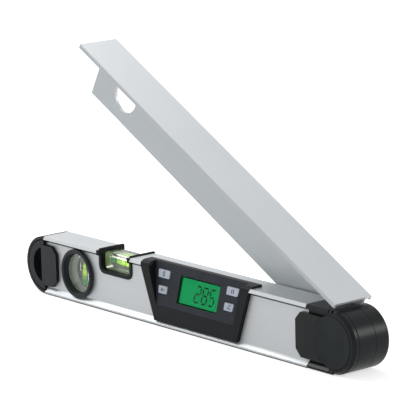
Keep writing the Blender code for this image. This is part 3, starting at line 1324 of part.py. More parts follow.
def make_joint_housing(shop):
    """The housing: plug in the profile, full-depth block, drum and sensor cavity."""
    edge = RIGHT_END + FIT_GAP
    front, rear = FRONT + DRUM_FRONT, FRONT + DRUM_REAR
    housing = shop.slab(housing_section(), edge, PIVOT_X, "X")
    plug = shop.slab(hollow_outline(FIT_GAP), RIGHT_END - JOINT_PLUG_LENGTH, edge + PROFILE_WALL, "X")
    shop.cut(plug, shop.box((RIGHT_END, edge + OVERRUN), (FRONT - OVERRUN, front + FIT_GAP),
                            (-OVERRUN, BODY_HEIGHT + OVERRUN)))
    drum = shop.turned(
        [
            (0, rear + OVERRUN / 2),
            (HUB_RADIUS, rear + OVERRUN / 2),
            (HUB_RADIUS, front + DRUM_EDGE),
            (HUB_RADIUS - DRUM_EDGE, front),
            (0, front),
        ],
        PIVOT_X, MIDDLE_Z)
    relief = shop.rod(HUB_RADIUS + 2 * HUB_CLEARANCE, rear, REAR + OVERRUN, PIVOT_X, MIDDLE_Z, LARGE_STEPS)
    ledge = front + DRUM_WALL + LEDGE_DEPTH
    cavity = shop.turned(
        [
            (0, rear + OVERRUN),
            (CAVITY_RADIUS, rear + OVERRUN),
            (CAVITY_RADIUS, ledge),
            (LEDGE_RADIUS, ledge),
            (LEDGE_RADIUS, front + DRUM_WALL),
            (AXLE_RADIUS + FIT_GAP, front + DRUM_WALL),
            (AXLE_RADIUS + FIT_GAP, front - OVERRUN),
            (0, front - OVERRUN),
        ],
        PIVOT_X, MIDDLE_Z, RING_STEPS)
    washer_seat = shop.turned(
        [
            (FRICTION_WASHER_INNER - FIT_GAP, rear + OVERRUN),
            (FRICTION_WASHER_OUTER + FIT_GAP, rear + OVERRUN),
            (FRICTION_WASHER_OUTER + FIT_GAP, rear - FRICTION_WASHER_THICKNESS),
            (FRICTION_WASHER_INNER - FIT_GAP, rear - FRICTION_WASHER_THICKNESS),
        ],
        PIVOT_X, MIDDLE_Z, RING_STEPS)
    shop.join(housing, plug, drum)
    cutters = [relief, cavity, washer_seat]
    for x, z in plug_screw_places(RIGHT_END - PLUG_SCREW_INSET):
        cutters.append(shop.rod(PLUG_SCREW_RADIUS + FIT_GAP, HOLLOW_REAR - PLUG_SCREW_LENGTH,
                                HOLLOW_REAR + OVERRUN, x, z))
    for x, z in cover_screw_places():
        cutters.append(shop.rod(COVER_SCREW_RADIUS + FIT_GAP, front - OVERRUN, front + DRUM_WALL - FIT_GAP, x, z))
    shop.cut(housing, *cutters)
    shop.finish(housing, "joint_housing", "black_plastic")
    for i, (x, z) in enumerate(plug_screw_places(RIGHT_END - PLUG_SCREW_INSET)):
        shop.finish(plug_screw(shop, x, z), f"joint_screw_{i + 1}", "steel")
    make_washer(shop, "friction_washer", "nylon", FRICTION_WASHER_INNER, FRICTION_WASHER_OUTER,
                rear - FRICTION_WASHER_THICKNESS + FIT_GAP, rear + FIT_GAP / 3)
    board_low = ledge + FIT_GAP
    make_washer(shop, "sensor_board", "board_green", SENSOR_HOLE_RADIUS, CAVITY_RADIUS - FIT_GAP,
                board_low, board_low + SENSOR_THICKNESS)


def make_washer(shop, name, look, inner, outer, low, high, carrier=None, x=PIVOT_X, z=MIDDLE_Z):
    """A flat ring about the hinge axis."""
    ring = shop.turned([(inner, high), (outer, high), (outer, low), (inner, low)], x, z, RING_STEPS, carrier)
    return shop.finish(ring, name, look)


def nut_pocket():
    """Front of the nut pocket in the arm hub, then seats of washer and nut."""
    floor = FRONT + WEB_FRONT + FIT_GAP
    washer = floor + FIT_GAP
    nut = washer + SPRING_WASHER_THICKNESS + FIT_GAP
    return floor, washer, nut


def make_axle(shop):
    """Axle with its head behind the hub disc, spring washer and nut."""
    head_rear = FRONT + DRUM_FRONT - FIT_GAP
    head_front = head_rear - AXLE_HEAD_THICKNESS
    _, washer, nut = nut_pocket()
    end = nut + NUT_THICKNESS + AXLE_END_LENGTH
    axle = shop.turned(
        [
            (0, end),
            (AXLE_RADIUS, end),
            (AXLE_RADIUS, head_rear),
            (AXLE_HEAD_RADIUS, head_rear),
            (AXLE_HEAD_RADIUS, head_front),
            (0, head_front),
        ],
        PIVOT_X, MIDDLE_Z, RING_STEPS // 2)
    socket_rim = circle(PIVOT_X, MIDDLE_Z, AXLE_SOCKET_RADIUS, HEXAGON)
    shop.cut(axle, shop.slab(socket_rim, head_front - OVERRUN, head_front + AXLE_SOCKET_DEPTH))
    shop.finish(axle, "pivot_axle", "steel")
    inner = AXLE_RADIUS + FIT_GAP
    make_washer(shop, "spring_washer", "steel", inner, SPRING_WASHER_RADIUS, washer,
                washer + SPRING_WASHER_THICKNESS)
    hexagon = circle(PIVOT_X, MIDDLE_Z, NUT_ACROSS_CORNERS / 2, HEXAGON)
    bore = circle(PIVOT_X, MIDDLE_Z, inner, SMALL_STEPS)
    nut_body = shop.slab(hexagon, nut, nut + NUT_THICKNESS, "Y", None, [bore])
    shop.finish(nut_body, "axle_nut", "steel")


def arm_levels():
    """Outer face, underside and lip edge of the flange, above the hinge axis."""
    lip = BODY_HEIGHT / 2 + ARM_CLOSED_GAP
    outer = lip + FLANGE_LIP_HEIGHT
    return outer, outer - FLANGE_THICKNESS, lip


def arm_section():
    """Section of the arm's flange with its two lips, as (y, v)."""
    outer, under, lip = arm_levels()
    front, rear = FRONT, FRONT + FLANGE_DEPTH
    return [
        (front, lip),
        (front + FLANGE_LIP_THICKNESS, lip),
        (front + FLANGE_LIP_THICKNESS, under),
        (rear - FLANGE_LIP_THICKNESS, under),
        (rear - FLANGE_LIP_THICKNESS, lip),
        (rear, lip),
        (rear, outer - FLANGE_EDGE),
        (rear - FLANGE_EDGE, outer),
        (front + FLANGE_EDGE, outer),
        (front, outer - FLANGE_EDGE),
    ]


def make_arm(shop):
    """The arm profile with the round end that the hub holds and the viewing hole."""
    _, under, _ = arm_levels()
    arm = shop.slab(arm_section(), -ARM_END, -ARM_START, "X", shop.arm)
    reach = math.acos(-ARM_START / WEB_END_RADIUS)
    root = under + FLANGE_THICKNESS / 2
    outline = [(-ARM_END, -WEB_LOW), (-ARM_START, -WEB_LOW)]
    outline += arc(0, 0, WEB_END_RADIUS, -reach, reach, RING_STEPS)
    outline += [(-ARM_START, root), (-ARM_END, root)]
    view_x = at_length(PLUMB_VIAL_X) - PIVOT_X
    holes = [
        circle(view_x, 0, VIEW_HOLE_RADIUS, LARGE_STEPS),
        circle(0, 0, WEB_AXLE_HOLE, RING_STEPS),
    ]
    holes += [circle(x, z, HUB_SCREW_RADIUS + FIT_GAP, SMALL_STEPS) for x, z in hub_screw_places()]
    web_front = FRONT + WEB_FRONT
    web = shop.slab(outline, web_front, web_front + WEB_THICKNESS, "Y", shop.arm, holes)
    shop.join(arm, web)
    shop.finish(arm, "arm_profile", "anodised")


def hub_screw_places():
    """The screws that clamp the web in the hub, as offsets from the hinge axis."""
    return ring_places(HUB_SCREW_COUNT, HUB_SCREW_CIRCLE, HUB_SCREW_START)


def make_arm_hub(shop):
    """The rear drum: slot for the web, boss for the encoder disc, nut pocket and cover."""
    front, rear = FRONT + ARM_HUB_FRONT, FRONT + ARM_HUB_REAR
    shoulder = rear - ARM_HUB_EDGE
    quarter = arc(HUB_RADIUS - ARM_HUB_EDGE, shoulder, ARM_HUB_EDGE, math.pi / 2, 0, EDGE_STEPS)
    sensor_seat = FRONT + DRUM_FRONT + DRUM_WALL + LEDGE_DEPTH + FIT_GAP + SENSOR_THICKNESS
    encoder_front = sensor_seat + ENCODER_AIR_GAP
    boss_shoulder = encoder_front + ENCODER_THICKNESS + FIT_GAP
    boss_front = FRONT + DRUM_FRONT + DRUM_WALL + FIT_GAP
    hub = shop.turned(
        [(0, rear)] + quarter + [
            (HUB_RADIUS, front),
            (BOSS_SHOULDER_RADIUS, front),
            (BOSS_SHOULDER_RADIUS, boss_shoulder),
            (BOSS_RADIUS, boss_shoulder),
            (BOSS_RADIUS, boss_front),
            (0, boss_front),
        ],
        0, 0, LARGE_STEPS, shop.arm)
    slot_front = FRONT + WEB_FRONT - FIT_GAP
    slot_rear = FRONT + WEB_FRONT + WEB_THICKNESS + FIT_GAP
    core = WEB_AXLE_HOLE - FIT_GAP
    slot = shop.turned(
        [
            (core, slot_rear),
            (WEB_END_RADIUS + FIT_GAP, slot_rear),
            (WEB_END_RADIUS + FIT_GAP, slot_front),
            (core, slot_front),
        ],
        0, 0, RING_STEPS, shop.arm)
    near, far = -ARM_START + FIT_GAP, -HUB_RADIUS - OVERRUN
    step = -WEB_AXLE_HOLE - FIT_GAP
    half_step = WEB_AXLE_HOLE / 2
    mouth = shop.slab(
        [(near, far), (near, -half_step), (step, -half_step), (step, half_step), (near, half_step),
         (near, -far), (far, -far), (far, far)],
        slot_front, slot_rear, "Y", shop.arm)
    disc_seat = rear - HUB_DISC_THICKNESS - FIT_GAP
    floor, _, _ = nut_pocket()
    bore = AXLE_RADIUS + FIT_GAP
    middle = shop.turned(
        [
            (0, rear + OVERRUN),
            (HUB_DISC_RADIUS + FIT_GAP, rear + OVERRUN),
            (HUB_DISC_RADIUS + FIT_GAP, disc_seat),
            (NUT_POCKET_RADIUS, disc_seat),
            (NUT_POCKET_RADIUS, floor),
            (bore, floor),
            (bore, boss_front - OVERRUN),
            (0, boss_front - OVERRUN),
        ],
        0, 0, RING_STEPS, shop.arm)
    cutters = [middle, shop.join(slot, mouth)]
    head_seat = disc_seat - FIT_GAP - HUB_SCREW_HEAD_HEIGHT
    for x, z in hub_screw_places():
        cutters.append(screw_hole(shop, x, z, head_seat, HUB_SCREW_LENGTH, HUB_SCREW_RADIUS,
                                  HUB_SCREW_HEAD, rear - head_seat, 1, shop.arm))
    shop.cut(hub, *cutters)
    shop.finish(hub, "arm_hub", "black_plastic")
    for i, (x, z) in enumerate(hub_screw_places()):
        screw = screw_shape(shop, x, z, head_seat, HUB_SCREW_LENGTH, HUB_SCREW_RADIUS,
                            HUB_SCREW_HEAD, HUB_SCREW_HEAD_HEIGHT, 1, shop.arm)
        shop.finish(screw, f"hub_screw_{i + 1}", "steel")
    disc = shop.turned(
        [
            (0, rear),
            (HUB_DISC_RADIUS - HUB_DISC_EDGE, rear),
            (HUB_DISC_RADIUS, rear - HUB_DISC_EDGE),
            (HUB_DISC_RADIUS, rear - HUB_DISC_THICKNESS),
            (0, rear - HUB_DISC_THICKNESS),
        ],
        0, 0, LARGE_STEPS, shop.arm)
    shop.finish(disc, "hub_disc_rear", "black_plastic")
    make_washer(shop, "encoder_disc", "board_green", BOSS_RADIUS + FIT_GAP, ENCODER_RADIUS,
                encoder_front, encoder_front + ENCODER_THICKNESS, shop.arm, 0, 0)


def main():
    """Make every piece of the angle finder."""
    clear_scene()
    shop = Workshop()
    make_profile(shop)
    make_end_cap(shop)
    make_plumb_vial(shop)
    make_level_vial(shop)
    make_bezel(shop)
    make_buttons(shop)
    make_display_inside(shop)
    make_battery_bay(shop)
    make_front_cover(shop)
    make_joint_housing(shop)
    make_axle(shop)
    make_arm(shop)
    make_arm_hub(shop)


main()
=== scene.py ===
"""Looks of a folding digital angle finder with a plumb vial, a level vial and one long arm.

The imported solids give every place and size. Each visible solid is dressed as a smooth copy or
as a finer piece in its place, and gets the finish of the real material.
"""

from __future__ import annotations

import logging
import math
from dataclasses import dataclass, field
from enum import Enum
from typing import Callable, Iterable, Sequence

import bmesh
import bpy
from mathutils import Matrix, Vector

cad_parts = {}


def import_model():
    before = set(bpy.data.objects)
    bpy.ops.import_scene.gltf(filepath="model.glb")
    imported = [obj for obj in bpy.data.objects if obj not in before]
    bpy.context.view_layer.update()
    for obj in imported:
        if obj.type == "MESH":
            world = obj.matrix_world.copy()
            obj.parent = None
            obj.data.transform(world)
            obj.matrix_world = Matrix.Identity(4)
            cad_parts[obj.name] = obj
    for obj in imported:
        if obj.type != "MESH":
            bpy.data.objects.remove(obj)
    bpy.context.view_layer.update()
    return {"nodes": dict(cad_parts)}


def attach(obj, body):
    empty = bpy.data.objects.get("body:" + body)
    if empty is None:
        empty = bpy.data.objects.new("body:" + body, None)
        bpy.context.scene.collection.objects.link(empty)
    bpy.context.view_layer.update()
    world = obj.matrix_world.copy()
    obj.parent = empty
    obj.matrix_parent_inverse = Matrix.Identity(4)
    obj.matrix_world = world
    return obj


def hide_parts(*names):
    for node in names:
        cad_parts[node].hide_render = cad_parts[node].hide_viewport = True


LOG = logging.getLogger("angle_finder")

MM = 0.001
OPENING = math.radians(28.5)
ON_AXIS = 0.0001 * MM
WELD = 0.001 * MM
SOLID_WELD = 0.002 * MM
FLAT = math.radians(0.4)
SOFT_ANGLE = 32.0
EVEN = (1.0, 1.0, 1.0)
Outline = Sequence[tuple[float, float]]
Colour = Sequence[float]


class Body(Enum):
    """The rigid bodies that a piece can ride on."""

    BODY = "body"
    ARM = "arm"
    ZERO = "zero_button"
    SOUND = "sound_button"
    HOLD = "hold_button"
    REFERENCE = "reference_button"
    DOOR = "door"


class Slot(Enum):
    """The record's material slots, which the calls here name for each piece."""

    ANODISED = "anodised"
    BLACK = "black_plastic"
    BUTTON = "button_grey"
    CLEAR = "clear_acrylic"
    FLUID = "vial_fluid"
    LCD = "lcd_green"
    STEEL = "steel"


def shade(colour: Colour, factor: float, lift: float = 0.0) -> tuple[float, ...]:
    """A colour times a factor, plus a little light, kept at 1 or below."""
    return tuple(min(1.0, c * factor + lift) for c in colour)


def calculate(tree: bpy.types.NodeTree, operation: str, *terms: bpy.types.NodeSocket | float,
              clamp: bool = False) -> bpy.types.NodeSocket:
    """Add a maths node to any tree.

    Args:
        tree: The tree of a material, of the world or of geometry.
        operation: What the node does.
        *terms: Its inputs in order, sockets or numbers.
        clamp: Whether the result is kept between 0 and 1.

    Returns:
        The result's socket.
    """
    node = tree.nodes.new("ShaderNodeMath")
    node.operation = operation
    node.use_clamp = clamp
    for socket, term in zip(node.inputs, terms):
        if isinstance(term, bpy.types.NodeSocket):
            tree.links.new(term, socket)
        else:
            socket.default_value = term
    return node.outputs[0]


class Graph:
    """A material's node tree, built node by node."""

    def __init__(self, name: str) -> None:
        """Start a material with only its output node.

        Args:
            name: The material's name.
        """
        self.material = bpy.data.materials.new(name)
        self.material.use_nodes = True
        self.tree = self.material.node_tree
        self.tree.nodes.clear()
        self.output = self.tree.nodes.new("ShaderNodeOutputMaterial")

    def add(self, kind: str, values: dict[str, object] | None = None, **settings: object) -> bpy.types.Node:
        """Add a node.

        Args:
            kind: The node's type.
            values: Input values by socket name.
            **settings: Properties of the node.

        Returns:
            The new node.
        """
        node = self.tree.nodes.new(kind)
        for key, value in settings.items():
            setattr(node, key, value)
        for key, value in (values or {}).items():
            node.inputs[key].default_value = value
        return node

    def link(self, start: bpy.types.NodeSocket, end: bpy.types.NodeSocket) -> None:
        """Link two sockets."""
        self.tree.links.new(start, end)

    def coordinates(self, scale: Sequence[float], turn: float = 0.0) -> bpy.types.NodeSocket:
        """Object coordinates, turned about Y and then scaled for each axis.

        Args:
            scale: Features per metre along each axis.
            turn: Angle about Y that lays X along a tilted piece.

        Returns:
            The vector socket.
        """
        source = self.add("ShaderNodeTexCoord")
        turned = self.add("ShaderNodeMapping", vector_type="POINT")
        turned.inputs["Rotation"].default_value = (0.0, turn, 0.0)
        self.link(source.outputs["Object"], turned.inputs["Vector"])
        stretched = self.add("ShaderNodeMapping", vector_type="POINT")
        stretched.inputs["Scale"].default_value = tuple(scale)
        self.link(turned.outputs["Vector"], stretched.inputs["Vector"])
        return stretched.outputs["Vector"]

    def position(self) -> bpy.types.Node:
        """Object coordinates in metres, split by axis.

        Returns:
            The node, with an output for each axis.
        """
        parts = self.add("ShaderNodeSeparateXYZ")
        self.link(self.coordinates(EVEN), parts.inputs["Vector"])
        return parts

    def noise(self, scale: Sequence[float], detail: float = 3.0, turn: float = 0.0) -> bpy.types.NodeSocket:
        """A noise pattern between 0 and 1 on stretched object coordinates.

        Args:
            scale: Features per metre along each axis.
            detail: How many finer layers it has.
            turn: Angle about Y that lays X along a tilted piece.

        Returns:
            The pattern's socket.
        """
        node = self.add("ShaderNodeTexNoise", {"Scale": 1.0, "Detail": detail, "Roughness": 0.55})
        self.link(self.coordinates(scale, turn), node.inputs["Vector"])
        return node.outputs["Fac"]

    def between(self, source: bpy.types.NodeSocket, low: float, high: float) -> bpy.types.NodeSocket:
        """Map a pattern's middle range onto two values.

        Args:
            source: The pattern.
            low: The value for its dark parts.
            high: The value for its light parts.

        Returns:
            The mapped socket.
        """
        node = self.add("ShaderNodeMapRange", {"From Min": 0.3, "From Max": 0.7,
                                               "To Min": low, "To Max": high})
        self.link(source, node.inputs["Value"])
        return node.outputs["Result"]

    def blend(self, factor: bpy.types.NodeSocket, first: Colour, second: Colour) -> bpy.types.NodeSocket:
        """Mix two colours by a factor.

        Args:
            factor: 0 for the first colour, 1 for the second.
            first: A colour.
            second: Another colour.

        Returns:
            The colour's socket.
        """
        node = self.add("ShaderNodeMix", data_type="RGBA")
        node.inputs["A"].default_value = (*first, 1.0)
        node.inputs["B"].default_value = (*second, 1.0)
        self.link(factor, node.inputs["Factor"])
        return node.outputs["Result"]

    def shades(self, pattern: bpy.types.NodeSocket, first: Colour, second: Colour) -> bpy.types.NodeSocket:
        """Mix two colours by the middle range of a pattern."""
        return self.blend(self.between(pattern, 0.0, 1.0), first, second)

    def mix(self, factor: bpy.types.NodeSocket, first: bpy.types.NodeSocket,
            second: Colour) -> bpy.types.NodeSocket:
        """Mix a colour socket towards a fixed colour.

        Args:
            factor: 0 for the socket, 1 for the fixed colour.
            first: The colour socket.
            second: The fixed colour.

        Returns:
            The colour's socket.
        """
        node = self.add("ShaderNodeMix", data_type="RGBA")
        node.inputs["B"].default_value = (*second, 1.0)
        self.link(first, node.inputs["A"])
        self.link(factor, node.inputs["Factor"])
        return node.outputs["Result"]

    def rounded_normal(self, radius: float) -> bpy.types.NodeSocket:
        """A normal that rounds sharp edges by a radius."""
        return self.add("ShaderNodeBevel", {"Radius": radius}, samples=4).outputs["Normal"]

    def edge_mask(self, radius: float, gain: float) -> bpy.types.NodeSocket:
        """Where an edge is: 0 on flats, towards 1 along rounded edges.

        Args:
            radius: How far the mask reaches from the edge.
            gain: How fast it rises.

        Returns:
            A value socket.
        """
        shape = self.add("ShaderNodeNewGeometry")
        across = self.add("ShaderNodeVectorMath", operation="DOT_PRODUCT")
        self.link(self.rounded_normal(radius), across.inputs[0])
        self.link(shape.outputs["Normal"], across.inputs[1])
        away = calculate(self.tree, "SUBTRACT", 1.0, across.outputs["Value"])
        return calculate(self.tree, "MULTIPLY", away, gain, clamp=True)

    def roughen(self, shader: bpy.types.Node, pattern: bpy.types.NodeSocket, low: float, high: float) -> None:
        """Vary a shader's roughness between two values by a pattern."""
        self.link(self.between(pattern, low, high), shader.inputs["Roughness"])

    def emboss(self, shader: bpy.types.Node, height: bpy.types.NodeSocket, depth: float, edge: float) -> None:
        """Give a shader a bump of a real depth, laid over rounded edges.

        Args:
            shader: The surface shader.
            height: The pattern that is raised.
            depth: How far it is raised.
            edge: Radius of the rounded edges.
        """
        node = self.add("ShaderNodeBump", {"Strength": 1.0, "Distance": depth})
        self.link(height, node.inputs["Height"])
        self.link(self.rounded_normal(edge), node.inputs["Normal"])
        self.link(node.outputs["Normal"], shader.inputs["Normal"])

    def principled(self, **values: object) -> bpy.types.Node:
        """Add the surface shader, linked to the output.

        Args:
            **values: Input values; an underscore in a key stands for a space.

        Returns:
            The shader node.
        """
        shader = self.add("ShaderNodeBsdfPrincipled")
        for key, value in values.items():
            shader.inputs[key.replace("_", " ")].default_value = value
        self.link(shader.outputs["BSDF"], self.output.inputs["Surface"])
        return shader


@dataclass(frozen=True)
class Anodised:
    """Satin anodised aluminium with fine draw lines along the extrusion, and edges lighter from wear and a
    painted edge highlight.
    """

    name: str
    colour: tuple[float, float, float] = (0.56, 0.585, 0.60)
    roughness: float = 0.44
    metallic: float = 0.50
    turn: float = 0.0
    haze: tuple[float, float, float] = (0.66, 0.68, 0.70)
    edge_wear_and_highlight: tuple[float, float, float] = (0.86, 0.87, 0.88)
    # Bands in Z where painted shade lines darken the front faces
    painted_shade_lines: tuple[tuple[float, float], ...] = ()
    painted_shade_front: float = -12.6 * MM
    painted_shade_colour: tuple[float, float, float] = (0.012, 0.014, 0.016)

    def build(self) -> bpy.types.Material:
        """Make the material.

        Returns:
            The material.
        """
        graph = Graph(self.name)
        lines = graph.noise((6.0, 2400.0, 2400.0), 3.0, self.turn)
        cloud = graph.noise((14.0, 22.0, 22.0), 2.0, self.turn)
        grain = graph.noise((5200.0, 5200.0, 5200.0), 2.0)
        shader = graph.principled(Metallic=self.metallic)
        toned = graph.shades(lines, shade(self.colour, 0.965), shade(self.colour, 1.025))
        hazy = graph.mix(graph.between(cloud, 0.0, 0.14), toned, self.haze)
        # Lighter edges: wear, and a painted highlight along every edge
        tone = graph.mix(graph.edge_mask(0.35 * MM, 1.6), hazy, self.edge_wear_and_highlight)
        # Painted shade: dark lines along the front, below the upper rail and along the bottom edge
        for low, high in self.painted_shade_lines:
            tone = graph.mix(self.painted_shade_line(graph, low, high), tone, self.painted_shade_colour)
        graph.link(tone, shader.inputs["Base Color"])
        graph.roughen(shader, cloud, self.roughness - 0.04, self.roughness + 0.05)
        graph.emboss(shader, grain, 0.004 * MM, 0.30 * MM)
        return graph.material

    def painted_shade_line(self, graph: Graph, low: float, high: float) -> bpy.types.NodeSocket:
        """Where a narrow painted shade line runs along the front of the extrusion.

        Args:
            graph: The material's graph.
            low: The painted shade line's lower edge.
            high: Its upper edge.

        Returns:
            A value socket, 1 in the painted shade line.
        """
        parts = graph.position()
        band = calculate(graph.tree, "COMPARE", parts.outputs["Z"], (low + high) / 2, (high - low) / 2)
        front = calculate(graph.tree, "LESS_THAN", parts.outputs["Y"], self.painted_shade_front)
        return calculate(graph.tree, "MULTIPLY", band, front)


@dataclass(frozen=True)
class Moulded:
    """Moulded plastic with a fine eroded grain, and edges lighter from rubbed wear and a painted edge
    highlight.
    """

    name: str
    colour: tuple[float, float, float]
    roughness: float = 0.46
    grain_depth: float = 0.012 * MM
    grain_scale: float = 2600.0
    rub_and_highlight: float = 0.5
    edge: float = 0.35 * MM
    gloss: float = 0.22

    def build(self) -> bpy.types.Material:
        """Make the material.

        Returns:
            The material.
        """
        graph = Graph(self.name)
        grain = graph.noise((self.grain_scale,) * 3, 3.0)
        cloud = graph.noise((36.0, 36.0, 36.0), 3.0)
        shader = graph.principled(Specular_IOR_Level=self.gloss)
        tone = graph.shades(cloud, shade(self.colour, 0.86), shade(self.colour, 1.14, 0.001))
        # Lighter edges: rubbed wear, and a painted highlight along every edge
        rubbed_and_highlit = graph.mix(graph.edge_mask(self.edge, self.rub_and_highlight), tone, shade(self.colour, 1.6, 0.03))
        graph.link(rubbed_and_highlit, shader.inputs["Base Color"])
        graph.roughen(shader, grain, self.roughness - 0.05, self.roughness + 0.07)
        graph.emboss(shader, grain, self.grain_depth, self.edge)
        return graph.material


@dataclass(frozen=True)
class Acrylic:
    """Polished clear acrylic with a slight tint and faint flow marks."""

    name: str
    colour: tuple[float, float, float] = (0.93, 0.98, 0.92)
    roughness: float = 0.03
    ior: float = 1.49
    gloss: float = 0.5

    def build(self) -> bpy.types.Material:
        """Make the material.

        Returns:
            The material.
        """
        graph = Graph(self.name)
        flow = graph.noise((90.0, 90.0, 240.0), 2.0)
        shader = graph.principled(Transmission_Weight=1.0, IOR=self.ior, Specular_IOR_Level=self.gloss)
        graph.link(graph.shades(flow, shade(self.colour, 0.97), self.colour), shader.inputs["Base Color"])
        graph.roughen(shader, flow, self.roughness, self.roughness + 0.03)
        graph.emboss(shader, flow, 0.01 * MM, 0.4 * MM)
        return graph.material


@dataclass(frozen=True)
class Frosted:
    """Ground acrylic: the rough sides of a vial block, which scatter the light."""

    name: str
    colour: tuple[float, float, float] = (0.30, 0.33, 0.31)

    def build(self) -> bpy.types.Material:
        """Make the material.

        Returns:
            The material.
        """
        graph = Graph(self.name)
        streak = graph.noise((420.0, 420.0, 30.0), 3.0)
        shader = graph.principled()
        tone = graph.shades(streak, shade(self.colour, 0.75), shade(self.colour, 1.3))
        graph.link(tone, shader.inputs["Base Color"])
        graph.roughen(shader, streak, 0.45, 0.62)
        graph.emboss(shader, streak, 0.03 * MM, 0.2 * MM)
        return graph.material


@dataclass(frozen=True)
class Fluid:
    """The dyed liquid of a vial, with painted light: lime where the light gathers, deep green further along
    its axis, and a painted glow.

    The painted light is lime up to the distance full from the middle of the axis, and deep green past gone.
    """

    name: str
    axis: str
    middle: float
    full: float
    gone: float
    colour: tuple[float, float, float] = (0.62, 0.84, 0.10)
    deep: tuple[float, float, float] = (0.004, 0.230, 0.045)
    glow: float = 0.34

    def build(self) -> bpy.types.Material:
        """Make the material.

        Returns:
            The material.
        """
        graph = Graph(self.name)
        cloud = graph.noise((120.0, 240.0, 240.0), 1.0)
        # Painted glow: the liquid gives off light in its own colours
        shader = graph.principled(Transmission_Weight=0.6, IOR=1.36, Emission_Strength=self.glow)
        # Painted light: lime near the middle of the axis, deep green further out
        offset = calculate(graph.tree, "SUBTRACT", graph.position().outputs[self.axis], self.middle)
        reach = calculate(graph.tree, "ABSOLUTE", offset)
        lime = graph.add("ShaderNodeMapRange", {"From Min": self.full, "From Max": self.gone,
                                                "To Min": 1.0, "To Max": 0.0},
                         interpolation_type="SMOOTHSTEP")
        graph.link(reach, lime.inputs["Value"])
        tone = graph.blend(lime.outputs["Result"], self.deep, self.colour)
        graph.link(tone, shader.inputs["Base Color"])
        graph.link(tone, shader.inputs["Emission Color"])
        graph.roughen(shader, cloud, 0.02, 0.06)
        return graph.material


@dataclass(frozen=True)
class Backlit:
    """The display's backlit liquid crystal: even green, a little brighter over its lamp."""

    name: str
    colour: tuple[float, float, float] = (0.0004, 0.215, 0.058)
    glow: float = 1.0
    paper: tuple[float, float, float] = (0.0005, 0.085, 0.030)

    def build(self) -> bpy.types.Material:
        """Make the material.

        Returns:
            The material.
        """
        graph = Graph(self.name)
        cell = graph.noise((60.0, 60.0, 60.0), 2.0)
        fine = graph.noise((2400.0, 2400.0, 2400.0), 1.0)
        shader = graph.principled(Emission_Strength=self.glow, Specular_IOR_Level=0.05)
        lit = graph.shades(cell, shade(self.colour, 0.92), shade(self.colour, 1.08))
        paper = graph.shades(fine, shade(self.paper, 0.9), self.paper)
        graph.link(paper, shader.inputs["Base Color"])
        graph.link(lit, shader.inputs["Emission Color"])
        graph.roughen(shader, fine, 0.22, 0.34)
        return graph.material


@dataclass(frozen=True)
class Ink:
    """A thin print or a dark liquid-crystal segment."""

    name: str
    colour: tuple[float, float, float]
    glow: float = 0.0
    gloss: float = 0.4

    def build(self) -> bpy.types.Material:
        """Make the material.

        Returns:
            The material.
        """
        graph = Graph(self.name)
        fleck = graph.noise((1800.0, 1800.0, 1800.0), 2.0)
        shader = graph.principled(Roughness=0.5, Emission_Strength=self.glow, Specular_IOR_Level=self.gloss)
        tone = graph.shades(fleck, self.colour, shade(self.colour, 1.25, 0.004))
        graph.link(tone, shader.inputs["Base Color"])
        graph.link(tone, shader.inputs["Emission Color"])
        return graph.material


@dataclass(frozen=True)
class Plated:
    """Zinc-plated steel with faint turning marks."""

    name: str
    colour: tuple[float, float, float] = (0.56, 0.56, 0.55)
    roughness: float = 0.30

    def build(self) -> bpy.types.Material:
        """Make the material.

        Returns:
            The material.
        """
        graph = Graph(self.name)
        marks = graph.noise((1500.0, 160.0, 1500.0), 4.0)
        cloud = graph.noise((260.0, 260.0, 260.0), 2.0)
        shader = graph.principled(Metallic=1.0)
        graph.link(graph.shades(cloud, shade(self.colour, 0.8), self.colour), shader.inputs["Base Color"])
        graph.roughen(shader, marks, self.roughness - 0.08, self.roughness + 0.1)
        graph.emboss(shader, marks, 0.006 * MM, 0.15 * MM)
        return graph.material


@dataclass(frozen=True)
class Board:
    """A circuit board: solder mask over copper runs."""

    name: str
    mask: tuple[float, float, float] = (0.015, 0.13, 0.05)
    copper: tuple[float, float, float] = (0.05, 0.30, 0.12)

    def build(self) -> bpy.types.Material:
        """Make the material.

        Returns:
            The material.
        """
        graph = Graph(self.name)
        runs = graph.add("ShaderNodeTexWave", {"Scale": 1.0, "Distortion": 6.0, "Detail": 1.0})
        graph.link(graph.coordinates((160.0, 160.0, 160.0)), runs.inputs["Vector"])
        lined = graph.between(runs.outputs["Fac"], 0.0, 1.0)
        shader = graph.principled(Roughness=0.35)
        graph.link(graph.blend(lined, self.mask, self.copper), shader.inputs["Base Color"])
        graph.emboss(shader, lined, 0.03 * MM, 0.1 * MM)
        return graph.material


@dataclass(frozen=True)
class CellWrap:
    """A dry cell's wrap: dark, with a copper-coloured band at its positive end."""

    name: str
    band_start: float
    dark: tuple[float, float, float] = (0.02, 0.02, 0.024)
    band: tuple[float, float, float] = (0.55, 0.26, 0.09)

    def build(self) -> bpy.types.Material:
        """Make the material.

        Returns:
            The material.
        """
        graph = Graph(self.name)
        banded = calculate(graph.tree, "GREATER_THAN", graph.position().outputs["X"], self.band_start)
        fleck = graph.noise((900.0, 900.0, 900.0), 2.0)
        shader = graph.principled(Metallic=0.3)
        graph.link(graph.blend(banded, self.dark, self.band), shader.inputs["Base Color"])
        graph.roughen(shader, fleck, 0.28, 0.4)
        return graph.material


